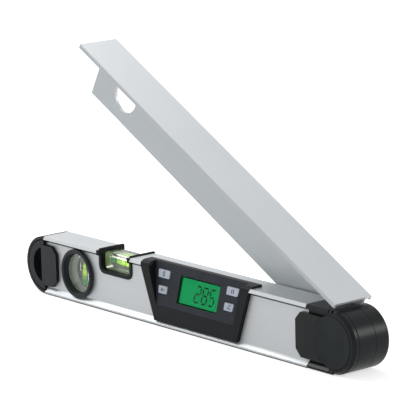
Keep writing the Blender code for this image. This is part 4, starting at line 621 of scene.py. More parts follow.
class Palette:
    """Builds each finish once and hands it out by name."""

    def __init__(self) -> None:
        """Collect the finishes of this tool."""
        self.made: dict[str, bpy.types.Material] = {}
        self.finishes = {
            # Painted shade lines: a shadow below the upper rail, and a dark line along the bottom edge
            "body_metal": Anodised("anodised_body", painted_shade_lines=((53.9 * MM, 55.5 * MM), (-0.1 * MM, 1.1 * MM))),
            "arm_metal": Anodised("anodised_arm", turn=-OPENING),
            # The web's darker tone is painted shade from the flange above it
            "web_metal_painted_shade": Anodised("anodised_web_painted_shade", colour=(0.44, 0.47, 0.49), turn=-OPENING),
            "case": Moulded("case_plastic", (0.0100, 0.0120, 0.0140), 0.42, gloss=0.10),
            "hub": Moulded("hub_plastic", (0.0065, 0.0082, 0.0092), 0.32, gloss=0.16),
            "disc": Moulded("disc_plastic", (0.0230, 0.0275, 0.0300), 0.55, gloss=0.10),
            "panel": Moulded("panel_plastic", (0.0400, 0.0450, 0.0540), 0.52, gloss=0.10),
            "chin": Moulded("bezel_plastic", (0.0040, 0.0050, 0.0060), 0.34, rub_and_highlight=0.3, gloss=0.06),
            "rim": Moulded("vial_rim_plastic", (0.0300, 0.0340, 0.0390), 0.42, gloss=0.12),
            # Painted shade for the insides of grooves; also the printed border round the display
            "groove": Moulded("groove_shade", (0.0012, 0.0014, 0.0017), 0.75, rub_and_highlight=0.0, gloss=0.0),
            "plate": Moulded("cap_plate_plastic", (0.0390, 0.0430, 0.0480), 0.50, gloss=0.10),
            "button": Moulded("button_plastic", (0.60, 0.66, 0.76), 0.42, 0.004 * MM, 2600.0, 0.2, 0.3 * MM),
            "clear": Acrylic("vial_acrylic"),
            "tinted": Acrylic("level_acrylic", (0.80, 0.90, 0.70)),
            "window": Acrylic("window_acrylic", (0.96, 0.98, 0.97), 0.02, 1.10, 0.12),
            "ground": Frosted("ground_acrylic"),
            "pale_ground": Frosted("pale_ground_acrylic", (0.42, 0.50, 0.30)),
            # The liquids' lime middles and their glow are painted light
            "upright_fluid": Fluid("plumb_liquid_dye_and_painted_light", "Z", 44 * MM, 12 * MM, 24 * MM),
            "fluid": Fluid("level_liquid_dye_and_painted_light", "X", -81 * MM, 8.5 * MM, 11.5 * MM),
            "lcd": Backlit("lcd_backlit"),
            "segment": Ink("lcd_segment", (0.0002, 0.020, 0.008), 0.2, 0.05),
            "print": Ink("button_print", (0.020, 0.022, 0.026)),
            "ring": Ink("vial_ring", (0.006, 0.006, 0.006)),
            "zinc": Plated("zinc_steel"),
            "board": Board("circuit_board"),
            "wrap": CellWrap("cell_wrap", 0.164),
            "nylon": Moulded("washer_nylon", (0.62, 0.60, 0.54), 0.5),
        }

    def get(self, name: str) -> bpy.types.Material:
        """Return a finish's material, made on first use.

        Args:
            name: The finish's name.

        Returns:
            The material.
        """
        if name not in self.made:
            self.made[name] = self.finishes[name].build()
        return self.made[name]


def plain_object(name: str, mesh: bpy.types.Mesh) -> bpy.types.Object:
    """Put a mesh in the scene as an object at the origin.

    Args:
        name: The object's name.
        mesh: Its mesh.

    Returns:
        The object.
    """
    thing = bpy.data.objects.new(name, mesh)
    bpy.context.scene.collection.objects.link(thing)
    return thing


def drain(work: bmesh.types.BMesh, name: str) -> bpy.types.Mesh:
    """Turn a worked mesh into a named mesh and free it.

    Args:
        work: The mesh being worked on.
        name: The new mesh's name.

    Returns:
        The plain mesh.
    """
    mesh = bpy.data.meshes.new(name)
    work.to_mesh(mesh)
    work.free()
    return mesh


def axes(x: Sequence[float], y: Sequence[float], z: Sequence[float], origin: Sequence[float]) -> Matrix:
    """A placement from its three axes and its origin."""
    return Matrix.Translation(origin) @ Matrix((x, y, z)).transposed().to_4x4()


def smooth_by_angle(mesh: bpy.types.Mesh, angle: float) -> None:
    """Shade a mesh smooth, with its edges above an angle kept sharp."""
    mesh.shade_smooth()
    mesh.set_sharp_from_angle(angle=math.radians(angle))


def evaluated_mesh(thing: bpy.types.Object) -> bpy.types.Mesh:
    """A plain mesh of an object with its modifiers applied."""
    graph = bpy.context.evaluated_depsgraph_get()
    return bpy.data.meshes.new_from_object(thing.evaluated_get(graph))


@dataclass
class Bench:
    """Where pieces are made, dressed and put on their bodies."""

    nodes: dict[str, bpy.types.Object]
    palette: Palette = field(default_factory=Palette)

    def settle(self, thing: bpy.types.Object, body: Body, slot: Slot, *stands_for: str) -> bpy.types.Object:
        """Put a finished piece on its body and hide the solids that it stands for.

        Args:
            thing: The piece, at the origin with its place in its mesh.
            body: The rigid body that carries it.
            slot: The record's material slot; not used.
            *stands_for: Solids that this piece shows in their place.

        Returns:
            The piece.
        """
        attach(thing, body.value)
        if stands_for:
            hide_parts(*stands_for)
        LOG.info("%s rides on %s, %d faces", thing.name, body.value, len(thing.data.polygons))
        return thing

    def smooth_copy(self, node: str, name: str, finish: str, body: Body, slot: Slot,
                    angle: float = 24.0) -> bpy.types.Object:
        """Stand a smooth copy of a solid in its place.

        Args:
            node: The solid's name.
            name: The new piece's name.
            finish: The finish from the palette.
            body: The rigid body that carries it.
            slot: The record's material slot.
            angle: Edges sharper than this stay sharp.

        Returns:
            The piece.
        """
        work = bmesh.new()
        work.from_mesh(self.nodes[node].data)
        bmesh.ops.remove_doubles(work, verts=work.verts, dist=SOLID_WELD)
        bmesh.ops.dissolve_limit(work, angle_limit=FLAT, verts=work.verts, edges=work.edges)
        mesh = drain(work, name)
        smooth_by_angle(mesh, angle)
        thing = plain_object(name, mesh)
        weigh = thing.modifiers.new("flat_faces", "WEIGHTED_NORMAL")
        weigh.mode = "FACE_AREA"
        weigh.weight = 90
        weigh.keep_sharp = True
        mesh = evaluated_mesh(thing)
        thing.modifiers.clear()
        mesh.materials.clear()
        mesh.materials.append(self.palette.get(finish))
        thing.data = mesh
        return self.settle(thing, body, slot, node)

    def accent(self, piece: bpy.types.Object, finish: str,
               wanted: Callable[[bpy.types.MeshPolygon], bool]) -> None:
        """Give the faces of a piece that pass a test another finish.

        Args:
            piece: The piece, with its mesh in place.
            finish: The finish from the palette.
            wanted: Says of a face whether it gets the finish.
        """
        piece.data.materials.append(self.palette.get(finish))
        index = len(piece.data.materials) - 1
        for face in piece.data.polygons:
            if wanted(face):
                face.material_index = index

    def dress(self, finish: str, *names: str) -> None:
        """Give solids that keep their own mesh a finish.

        Args:
            finish: The finish from the palette.
            *names: The solids.
        """
        for name in names:
            mesh = self.nodes[name].data
            mesh.materials.clear()
            mesh.materials.append(self.palette.get(finish))

    def carve(self, piece: bpy.types.Object, cutter: bpy.types.Object) -> None:
        """Cut a closed shape out of a piece.

        Args:
            piece: The piece, which keeps its name.
            cutter: The shape, which is removed.
        """
        cut = piece.modifiers.new("carve", "BOOLEAN")
        cut.object = cutter
        cut.solver = "EXACT"
        mesh = evaluated_mesh(piece)
        piece.modifiers.clear()
        piece.data = mesh
        bpy.data.objects.remove(cutter, do_unlink=True)

    def bubble(self, radius: float, stretch: Sequence[float], place: Sequence[float]) -> bpy.types.Object:
        """The shape of a bubble, to be carved out of its liquid.

        Args:
            radius: Its radius before it is stretched.
            stretch: Its scale along each axis.
            place: Its middle.

        Returns:
            The cutter.
        """
        work = bmesh.new()
        bmesh.ops.create_uvsphere(work, u_segments=32, v_segments=20, radius=radius)
        bmesh.ops.scale(work, vec=stretch, verts=work.verts)
        bmesh.ops.translate(work, verts=work.verts, vec=place)
        return plain_object("bubble", drain(work, "bubble"))

    def lathe(self, name: str, profile: Outline, x: float, z: float, finish: str,
              steps: int = 128) -> bpy.types.Object:
        """Turn a closed profile of (radius, y) about an axis along Y.

        Args:
            name: The piece's name.
            profile: Closed outline off the axis, or open with both ends on it.
            x: The axis's X.
            z: The axis's Z.
            finish: The finish from the palette.
            steps: Facets round the turn.

        Returns:
            The piece, not yet on a body.
        """
        work = bmesh.new()
        points = [work.verts.new((radius, y, 0.0)) for radius, y in profile]
        edges = [work.edges.new(pair) for pair in zip(points, points[1:])]
        if min(profile[0][0], profile[-1][0]) > ON_AXIS:
            edges.append(work.edges.new((points[-1], points[0])))
        bmesh.ops.spin(work, geom=points + edges, cent=(0, 0, 0), axis=(0, 1, 0), angle=2 * math.pi,
                       steps=steps, use_merge=True)
        bmesh.ops.remove_doubles(work, verts=work.verts, dist=WELD)
        bmesh.ops.recalc_face_normals(work, faces=work.faces)
        bmesh.ops.translate(work, verts=work.verts, vec=(x, 0.0, z))
        mesh = drain(work, name)
        mesh.materials.append(self.palette.get(finish))
        smooth_by_angle(mesh, SOFT_ANGLE)
        return plain_object(name, mesh)

    def plate(self, name: str, outline: Outline, low: float, high: float, place: Matrix, finish: str,
              holes: Iterable[Outline] = ()) -> bpy.types.Object:
        """A flat plate with an outline and holes, set by a matrix.

        Args:
            name: The piece's name.
            outline: Points in the plate's plane.
            low: Bottom of the plate along its normal.
            high: Top of the plate along its normal.
            place: Where the plate's plane goes.
            finish: The finish from the palette.
            holes: Outlines of its holes.

        Returns:
            The piece, not yet on a body.
        """
        curve = bpy.data.curves.new(name, "CURVE")
        curve.dimensions = "2D"
        curve.fill_mode = "BOTH"
        curve.extrude = (high - low) / 2
        for loop in (outline, *holes):
            spline = curve.splines.new("POLY")
            spline.points.add(len(loop) - 1)
            for point, (a, b) in zip(spline.points, loop):
                point.co = (a, b, 0.0, 1.0)
            spline.use_cyclic_u = True
        drawn = bpy.data.objects.new(name, curve)
        bpy.context.scene.collection.objects.link(drawn)
        mesh = evaluated_mesh(drawn)
        bpy.data.objects.remove(drawn, do_unlink=True)
        work = bmesh.new()
        work.from_mesh(mesh)
        bmesh.ops.remove_doubles(work, verts=work.verts, dist=WELD)
        bmesh.ops.dissolve_limit(work, angle_limit=FLAT, verts=work.verts, edges=work.edges)
        bmesh.ops.recalc_face_normals(work, faces=work.faces)
        work.to_mesh(mesh)
        work.free()
        mesh.transform(place @ Matrix.Translation((0.0, 0.0, (low + high) / 2)))
        mesh.materials.append(self.palette.get(finish))
        smooth_by_angle(mesh, SOFT_ANGLE)
        return plain_object(name, mesh)


class GrowthTree:
    """A geometry tree that is built in the script and grown on a host mesh."""

    def __init__(self, name: str, inputs: dict[str, float]) -> None:
        """Start the tree with its named inputs.

        Args:
            name: The tree's name.
            inputs: Default value of each named size.
        """
        self.group = bpy.data.node_groups.new(name, "GeometryNodeTree")
        face = self.group.interface
        face.new_socket("Geometry", in_out="INPUT", socket_type="NodeSocketGeometry")
        for key, value in inputs.items():
            face.new_socket(key, in_out="INPUT", socket_type="NodeSocketFloat").default_value = value
        face.new_socket("Geometry", in_out="OUTPUT", socket_type="NodeSocketGeometry")
        self.source = self.group.nodes.new("NodeGroupInput")
        self.sink = self.group.nodes.new("NodeGroupOutput")
        self.material: bpy.types.Material | None = None

    def add(self, kind: str, values: dict[str, object] | None = None, **settings: object) -> bpy.types.Node:
        """Add a node.

        Args:
            kind: The node's type.
            values: Input values by socket name.
            **settings: Properties of the node.

        Returns:
            The new node.
        """
        node = self.group.nodes.new(kind)
        for key, value in settings.items():
            setattr(node, key, value)
        for key, value in (values or {}).items():
            node.inputs[key].default_value = value
        return node

    def link(self, start: bpy.types.NodeSocket, end: bpy.types.NodeSocket) -> None:
        """Link two sockets."""
        self.group.links.new(start, end)

    def size(self, name: str) -> bpy.types.NodeSocket:
        """The socket of a named input."""
        return self.source.outputs[name]

    def vector(self, x: bpy.types.NodeSocket | None, y: bpy.types.NodeSocket | None,
               z: bpy.types.NodeSocket | None) -> bpy.types.NodeSocket:
        """Combine up to three sizes into a vector.

        Args:
            x: The first size, or None for 0.
            y: The second.
            z: The third.

        Returns:
            The vector's socket.
        """
        node = self.add("ShaderNodeCombineXYZ")
        for socket, target in zip((x, y, z), node.inputs):
            if socket is not None:
                self.link(socket, target)
        return node.outputs["Vector"]

    def move(self, shape: bpy.types.NodeSocket, offset: bpy.types.NodeSocket) -> bpy.types.NodeSocket:
        """Move a shape along the tree's Z.

        Args:
            shape: The shape's socket.
            offset: How far it goes.

        Returns:
            The moved shape's socket.
        """
        moved = self.add("GeometryNodeTransform")
        self.link(shape, moved.inputs["Geometry"])
        self.link(self.vector(None, None, offset), moved.inputs["Translation"])
        return moved.outputs["Geometry"]

    def scatter(self, shape: bpy.types.NodeSocket, material: bpy.types.Material,
                turn: bpy.types.NodeSocket | None = None) -> None:
        """Stand the shape on every host point, and end the tree in real geometry with its material.

        Args:
            shape: The shape's socket.
            material: What it is made of.
            turn: An angle about the host's Z for each point.
        """
        self.material = material
        placed = self.add("GeometryNodeInstanceOnPoints")
        self.link(self.source.outputs["Geometry"], placed.inputs["Points"])
        self.link(shape, placed.inputs["Instance"])
        if turn is not None:
            self.link(self.vector(None, None, turn), placed.inputs["Rotation"])
        real = self.add("GeometryNodeRealizeInstances")
        self.link(placed.outputs["Instances"], real.inputs["Geometry"])
        dressed = self.add("GeometryNodeSetMaterial")
        dressed.inputs["Material"].default_value = material
        self.link(real.outputs["Geometry"], dressed.inputs["Geometry"])
        self.link(dressed.outputs["Geometry"], self.sink.inputs["Geometry"])

    def grow(self, name: str, points: Iterable[Vector], turns: Iterable[float] | None = None,
             sizes: dict[str, float] | None = None, place: Matrix | None = None) -> bpy.types.Object:
        """Grow the tree on points and return the result as a plain mesh object.

        Args:
            name: The piece's name.
            points: Host points, in the plane that the place matrix sets.
            turns: An angle for each point, read by the tree as "turn".
            sizes: Values of the named inputs.
            place: Where the grown shape goes.

        Returns:
            The piece, not yet on a body.
        """
        host = bpy.data.meshes.new(name)
        host.from_pydata([tuple(p) for p in points], [], [])
        if turns is not None:
            host.attributes.new("turn", "FLOAT", "POINT").data.foreach_set("value", list(turns))
        thing = plain_object(name, host)
        modifier = thing.modifiers.new("grow", "NODES")
        modifier.node_group = self.group
        for item in self.group.interface.items_tree:
            if item.item_type == "SOCKET" and item.in_out == "INPUT" and item.name in (sizes or {}):
                modifier[item.identifier] = float(sizes[item.name])
        mesh = evaluated_mesh(thing)
        thing.modifiers.remove(modifier)
        mesh.materials.clear()
        mesh.materials.append(self.material)
        mesh.polygons.foreach_set("material_index", [0] * len(mesh.polygons))
        if place is not None:
            mesh.transform(place)
        thing.data = mesh
        smooth_by_angle(mesh, SOFT_ANGLE)
        return thing


def segment_tree(material: bpy.types.Material) -> GrowthTree:
    """Pointed bars on points: the dark segments of a seven-segment display.

    Args:
        material: What they are made of.

    Returns:
        The tree, which turns each bar by the host's attribute "turn".
    """
    tree = GrowthTree("display_segments", {"Length": 6 * MM, "Width": 1.2 * MM, "Thickness": 0.05 * MM})
    hexagon = tree.add("GeometryNodeMeshCircle", {"Vertices": 6, "Radius": 0.5}, fill_type="NGON")
    squash = tree.add("GeometryNodeTransform")
    tree.link(hexagon.outputs["Mesh"], squash.inputs["Geometry"])
    tree.link(tree.vector(tree.size("Length"), tree.size("Width"), None), squash.inputs["Scale"])
    rise = tree.add("GeometryNodeExtrudeMesh")
    tree.link(squash.outputs["Geometry"], rise.inputs["Mesh"])
    tree.link(tree.size("Thickness"), rise.inputs["Offset Scale"])
    turn = tree.add("GeometryNodeInputNamedAttribute", {"Name": "turn"}, data_type="FLOAT")
    tree.scatter(rise.outputs["Mesh"], material, turn.outputs["Attribute"])
    return tree


def screw_tree(material: bpy.types.Material) -> GrowthTree:
    """Screws on points: a shank, a pan head and a cross recess, heads up along Z.

    Args:
        material: What they are made of.

    Returns:
        The tree.
    """
    overlap, arm_length, arm_width, arm_depth = 0.01, 3.4 * MM, 0.75 * MM, 1.8 * MM
    tree = GrowthTree("cross_screws", {"Radius": 2.8 * MM, "Height": 1.5 * MM,
                                       "Shank": 1.5 * MM, "Length": 8 * MM})
    head = tree.add("GeometryNodeMeshCylinder", {"Vertices": 40})
    tree.link(tree.size("Radius"), head.inputs["Radius"])
    tree.link(tree.size("Height"), head.inputs["Depth"])
    shank = tree.add("GeometryNodeMeshCylinder", {"Vertices": 24})
    tree.link(tree.size("Shank"), shank.inputs["Radius"])
    tree.link(tree.size("Length"), shank.inputs["Depth"])
    both = tree.add("GeometryNodeMeshBoolean", operation="UNION", solver="EXACT")
    for part, size, share in ((head, "Height", 0.5), (shank, "Length", overlap - 0.5)):
        offset = calculate(tree.group, "MULTIPLY", tree.size(size), share)
        tree.link(tree.move(part.outputs["Mesh"], offset), both.inputs["Mesh 2"])
    recess = tree.add("GeometryNodeMeshBoolean", operation="DIFFERENCE", solver="EXACT")
    tree.link(both.outputs["Mesh"], recess.inputs["Mesh 1"])
    for angle in (0.0, math.pi / 2):
        bar = tree.add("GeometryNodeMeshCube", {"Size": (arm_length, arm_width, arm_depth)})
        swing = tree.add("GeometryNodeTransform", {"Rotation": (0.0, 0.0, angle)})
        tree.link(bar.outputs["Mesh"], swing.inputs["Geometry"])
        tree.link(tree.move(swing.outputs["Geometry"], tree.size("Height")), recess.inputs["Mesh 2"])
    tree.scatter(recess.outputs["Mesh"], material)
    return tree


def rib_tree(material: bpy.types.Material) -> GrowthTree:
    """Round-backed ribs on points, each along the host's Y.

    Args:
        material: What they are made of.

    Returns:
        The tree, whose Height is the rib's rise as a share of its radius.
    """
    tree = GrowthTree("grip_ribs", {"Radius": 0.6 * MM, "Length": 16 * MM, "Height": 0.25})
    rod = tree.add("GeometryNodeMeshCylinder", {"Vertices": 20})
    tree.link(tree.size("Radius"), rod.inputs["Radius"])
    tree.link(tree.size("Length"), rod.inputs["Depth"])
    lay = tree.add("GeometryNodeTransform", {"Rotation": (math.pi / 2, 0.0, 0.0)})
    tree.link(rod.outputs["Mesh"], lay.inputs["Geometry"])
    flat = tree.add("GeometryNodeTransform")
    one = tree.add("ShaderNodeValue")
    one.outputs[0].default_value = 1.0
    tree.link(lay.outputs["Geometry"], flat.inputs["Geometry"])
    tree.link(tree.vector(one.outputs[0], one.outputs[0], tree.size("Height")), flat.inputs["Scale"])
    tree.scatter(flat.outputs["Geometry"], material)
    return tree


def ring_tree(material: bpy.types.Material) -> GrowthTree:
    """Thin rings on points, their axis along the host's Z: the gauge lines of a vial.

    Args:
        material: What they are made of.

    Returns:
        The tree.
    """
    tree = GrowthTree("gauge_rings", {"Radius": 5.2 * MM, "Line": 0.25 * MM})
    path = tree.add("GeometryNodeCurvePrimitiveCircle", {"Resolution": 64})
    tree.link(tree.size("Radius"), path.inputs["Radius"])
    section = tree.add("GeometryNodeCurvePrimitiveCircle", {"Resolution": 8})
    tree.link(tree.size("Line"), section.inputs["Radius"])
    swept = tree.add("GeometryNodeCurveToMesh")
    tree.link(path.outputs["Curve"], swept.inputs["Curve"])
    tree.link(section.outputs["Curve"], swept.inputs["Profile Curve"])
    tree.scatter(swept.outputs["Mesh"], material)
    return tree


def ellipse(x: float, y: float, across: float, up: float, steps: int = 40) -> list[tuple[float, float]]:
    """Points of an ellipse with half axes across and up."""
    turns = (2 * math.pi * i / steps for i in range(steps))
    return [(x + across * math.cos(turn), y + up * math.sin(turn)) for turn in turns]


def arc(x: float, y: float, radius: float, start: float, end: float,
        steps: int = 16) -> list[tuple[float, float]]:
    """Points of an arc, angles in degrees from +X towards +Y."""
    turns = (math.radians(start + (end - start) * i / steps) for i in range(steps + 1))
    return [(x + radius * math.cos(turn), y + radius * math.sin(turn)) for turn in turns]


def filleted(profile: Outline, radius: float, steps: int = 4) -> list[tuple[float, float]]:
    """Round every corner of a closed outline, as far as its edges allow.

    Args:
        profile: The outline's corners.
        radius: The fillet's radius where there is room.
        steps: Facets in each fillet.

    Returns:
        The outline with rounded corners.
    """
    rounded: list[tuple[float, float]] = []
    count = len(profile)
    for i in range(count):
        before, here, after = (Vector(profile[(i + k) % count]) for k in (-1, 0, 1))
        back, ahead = before - here, after - here
        turn = back.angle(ahead)
        room = 0.45 * min(back.length, ahead.length)
        reach = min(radius / math.tan(turn / 2), room)
        first, last = here + back.normalized() * reach, here + ahead.normalized() * reach
        for k in range(steps + 1):
            t = k / steps
            point = first.lerp(here, t).lerp(here.lerp(last, t), t)
            rounded.append((point.x, point.y))
    return rounded


@dataclass
class BodySet:
    """Common places of the body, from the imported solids."""

    front: float = -17 * MM
    middle_z: float = 30 * MM
    pivot_x: float = 234.4 * MM
    disc_radius: float = 24.9 * MM
    toward_front: float = -0.99


@dataclass
class AluminiumBody(BodySet):
    """The extruded body with its end cap."""

    screw_places: tuple[tuple[float, float], ...] = (
        (-188 * MM, 14 * MM), (-188 * MM, 46 * MM), (188 * MM, 14 * MM), (188 * MM, 46 * MM))
    screw_seat: float = 14.8 * MM
    recess_face: float = -13 * MM
    groove_low: float = 55.1 * MM
    groove_high: float = 56.8 * MM
    cap_front: float = -16.7 * MM

    def build(self, bench: Bench) -> None:
        """Dress the profile and the cap, and set the screws at the back.

        Args:
            bench: Where pieces are made and put on their bodies.
        """
        profile = bench.smooth_copy("body_profile", "extruded_body", "body_metal", Body.BODY, Slot.ANODISED)
        # Painted shade: the faces inside the groove below the upper rail are near black
        bench.accent(profile, "groove", self.in_rail_groove)
        cap = bench.smooth_copy("end_cap", "moulded_end_cap", "case", Body.BODY, Slot.BLACK)
        bench.accent(cap, "plate", lambda face: face.normal.y < self.toward_front)
        # Painted shade: the faces inside the cap's front grooves and hang slot are near black
        bench.accent(cap, "groove", self.in_cap_groove)
        self.screws(bench)

    def in_rail_groove(self, face: bpy.types.MeshPolygon) -> bool:
        """Whether a face lies inside the narrow groove under the upper rail."""
        deep = self.recess_face + 0.1 * MM < face.center.y < self.recess_face + 1.0 * MM
        return deep and self.groove_low < face.center.z < self.groove_high

    def in_cap_groove(self, face: bpy.types.MeshPolygon) -> bool:
        """Whether a face lies inside the cap's front grooves or its hang slot."""
        return self.cap_front + 0.2 * MM < face.center.y < self.cap_front + 1.6 * MM

    def screws(self, bench: Bench) -> None:
        """The four cross-head screws in the rear wall.

        Args:
            bench: Where pieces are made and put on their bodies.
        """
        tree = screw_tree(bench.palette.get("zinc"))
        turn = Matrix.Rotation(math.radians(-90), 4, "X")
        points = [Vector((x, -z, self.screw_seat)) for x, z in self.screw_places]
        screws = tree.grow("rear_wall_screws", points, sizes={"Height": 1.5 * MM}, place=turn)
        bench.settle(screws, Body.BODY, Slot.STEEL, "end_cap_screw_1", "end_cap_screw_2",
                     "joint_screw_1", "joint_screw_2")


@dataclass
class PlumbVial(BodySet):
    """The round vial: two rims, a clear block with ground sides, the liquid and its rings."""

    x: float = -146.3 * MM
    rim_outer: float = 24.9 * MM
    rim_inner: float = 21.0 * MM
    rim_front: float = -17.4 * MM
    seat: float = -13.3 * MM
    glass_front: float = -11.4 * MM
    glass_rear: float = 12.5 * MM
    glass_radius: float = 19.7 * MM
    bore: float = 5.4 * MM
    bore_half: float = 13 * MM
    bubble: float = 9 * MM
    bubble_radius: float = 4.2 * MM
    bubble_stretch: float = 1.5
    sleeve: float = 22.5 * MM
    tube_end: float = 0.4 * MM
    gap: float = 0.3 * MM
    edge: float = 0.4 * MM
    ring_rise: float = 0.25 * MM
    ring_line: float = 0.22 * MM

    @property
    def middle_y(self) -> float:
        """The middle of the block from front to rear."""
        return (self.glass_front + self.glass_rear) / 2

    def build(self, bench: Bench) -> None:
        """Make the rims, the block, the liquid, the bubble and the gauge rings.

        Args:
            bench: Where pieces are made and put on their bodies.
        """
        self.front_rim(bench)
        bench.smooth_copy("plumb_vial_rear_bezel", "rear_vial_rim", "rim", Body.BODY, Slot.BLACK)
        self.block(bench)
        self.liquid(bench)

    def front_rim(self, bench: Bench) -> None:
        """The soft-edged rim round the window.

        Args:
            bench: Where pieces are made and put on their bodies.
        """
        glass = self.glass_radius + self.gap
        lip = self.glass_front - self.gap
        profile = filleted([
            (self.sleeve, self.tube_end), (self.sleeve, self.seat),
            (self.rim_outer, self.seat), (self.rim_outer, self.rim_front),
            (self.rim_inner, self.rim_front), (self.rim_inner - 0.5 * MM, lip),
            (glass - self.gap, lip), (glass, self.glass_front), (glass, self.tube_end),
        ], 1.3 * MM, 6)
        rim = bench.lathe("front_vial_rim", profile, self.x, self.middle_z, "rim")
        bench.settle(rim, Body.BODY, Slot.BLACK, "plumb_vial_front_bezel")

    def block(self, bench: Bench) -> None:
        """The clear block: polished faces, ground sides, and the upright bore in it.

        Args:
            bench: Where pieces are made and put on their bodies.
        """
        edge, radius = self.edge, self.glass_radius
        front, rear = self.glass_front, self.glass_rear
        profile = [(0.0, rear), (radius - edge, rear), (radius, rear - edge),
                   (radius, front + edge), (radius - edge, front), (0.0, front)]
        block = bench.lathe("plumb_block", profile, self.x, self.middle_z, "clear")
        bench.carve(block, self.upright("bore_cutter", self.bore, -self.bore_half, radius + 5 * MM))
        block.data.materials.clear()
        block.data.materials.append(bench.palette.get("clear"))
        bench.accent(block, "ground", self.is_outer)
        bench.settle(block, Body.BODY, Slot.CLEAR, "plumb_vial_block")

    def is_outer(self, face: bpy.types.MeshPolygon) -> bool:
        """Whether a face lies on the block's ground rim."""
        away = Vector((face.center.x - self.x, face.center.z - self.middle_z))
        return away.length > self.glass_radius - 2 * self.edge and abs(face.normal.y) < 0.3

    def upright(self, name: str, radius: float, low: float, high: float) -> bpy.types.Object:
        """A round column in the vial's middle plane.

        Args:
            name: The column's name.
            radius: Its radius.
            low: Its lower end, from the vial's centre.
            high: Its upper end.

        Returns:
            The column.
        """
        work = bmesh.new()
        bmesh.ops.create_cone(work, cap_ends=True, segments=64, radius1=radius, radius2=radius,
                              depth=high - low)
        bmesh.ops.translate(work, verts=work.verts,
                            vec=(self.x, self.middle_y, self.middle_z + (low + high) / 2))
        mesh = drain(work, name)
        smooth_by_angle(mesh, SOFT_ANGLE)
        return plain_object(name, mesh)

    def liquid(self, bench: Bench) -> None:
        """The liquid with a bubble at its top, and two gauge rings round it.

        Args:
            bench: Where pieces are made and put on their bodies.
        """
        liquid = self.upright("plumb_liquid", self.bore - self.gap,
                              -self.bore_half + self.gap, self.bore_half)
        bench.carve(liquid, bench.bubble(self.bubble_radius, (1, 1, self.bubble_stretch),
                                         (self.x, self.middle_y, self.middle_z + self.bubble)))
        liquid.data.materials.clear()
        liquid.data.materials.append(bench.palette.get("upright_fluid"))
        smooth_by_angle(liquid.data, SOFT_ANGLE)
        bench.settle(liquid, Body.BODY, Slot.FLUID, "plumb_vial_fluid")
        rings = ring_tree(bench.palette.get("ring")).grow(
            "plumb_rings", [Vector((0, 0, offset)) for offset in (-4 * MM, 4 * MM)],
            sizes={"Radius": self.bore + self.ring_rise, "Line": self.ring_line},
            place=Matrix.Translation((self.x, self.middle_y, self.middle_z)))
        bench.settle(rings, Body.BODY, Slot.BLACK)
        bench.dress("clear", "plumb_vial_plug")


@dataclass
class LevelVial(BodySet):
    """The level vial in its frame on the top edge."""

    x: float = -85.25 * MM
    y: float = 0.0
    z: float = 49.65 * MM
    bore: float = 5.4 * MM
    half: float = 17 * MM
    bulge: float = 0.5 * MM
    bubble_half: float = 7.5 * MM
    bubble_radius: float = 3.4 * MM
    bubble_drop: float = 0.6 * MM
    bubble_height: float = 0.8
    gap: float = 0.3 * MM
    ring_rise: float = 0.25 * MM
    ring_line: float = 0.22 * MM
    steps: int = 16

    def build(self, bench: Bench) -> None:
        """Dress the frame and the block, and make the liquid, the bubble and the rings.

        Args:
            bench: Where pieces are made and put on their bodies.
        """
        bench.smooth_copy("level_vial_frame", "level_frame", "case", Body.BODY, Slot.BLACK)
        block = bench.smooth_copy("level_vial_block", "level_block", "tinted", Body.BODY, Slot.CLEAR)
        bench.accent(block, "pale_ground", lambda face: abs(face.normal.x) > 0.9)
        bench.accent(block, "ground",
                     lambda face: face.normal.z < -0.9 and face.center.z < self.z - self.bore)
        self.liquid(bench)
        bench.dress("clear", "level_vial_plug")

    def liquid(self, bench: Bench) -> None:
        """The barrel of liquid along X with its long bubble under the top.

        Args:
            bench: Where pieces are made and put on their bodies.
        """
        gap, place = self.gap, Matrix.Translation((self.x, self.y, self.z))
        profile = [(0.0, self.half)]
        for i in range(self.steps + 1):
            along = (self.half - gap) - (2 * self.half - 2 * gap) * i / self.steps
            profile.append((self.bore - gap + self.bulge * (1 - (along / self.half) ** 2), along))
        profile.append((0.0, -self.half + gap))
        barrel = bench.lathe("level_liquid", profile, 0.0, 0.0, "fluid", 64)
        barrel.data.transform(place @ Matrix.Rotation(math.radians(-90), 4, "Z"))
        top = self.z + self.bore + self.bulge - self.bubble_drop
        bench.carve(barrel, bench.bubble(self.bubble_radius,
                                         (self.bubble_half / self.bubble_radius, 1, self.bubble_height),
                                         (self.x, self.y, top)))
        smooth_by_angle(barrel.data, SOFT_ANGLE)
        bench.settle(barrel, Body.BODY, Slot.FLUID, "level_vial_fluid")
        rings = ring_tree(bench.palette.get("ring")).grow(
            "level_rings", [Vector((0, 0, offset)) for offset in (-8 * MM, 8 * MM)],
            sizes={"Radius": self.bore + self.bulge + self.ring_rise, "Line": self.ring_line},
            place=place @ Matrix.Rotation(math.radians(90), 4, "Y"))
        bench.settle(rings, Body.BODY, Slot.BLACK)


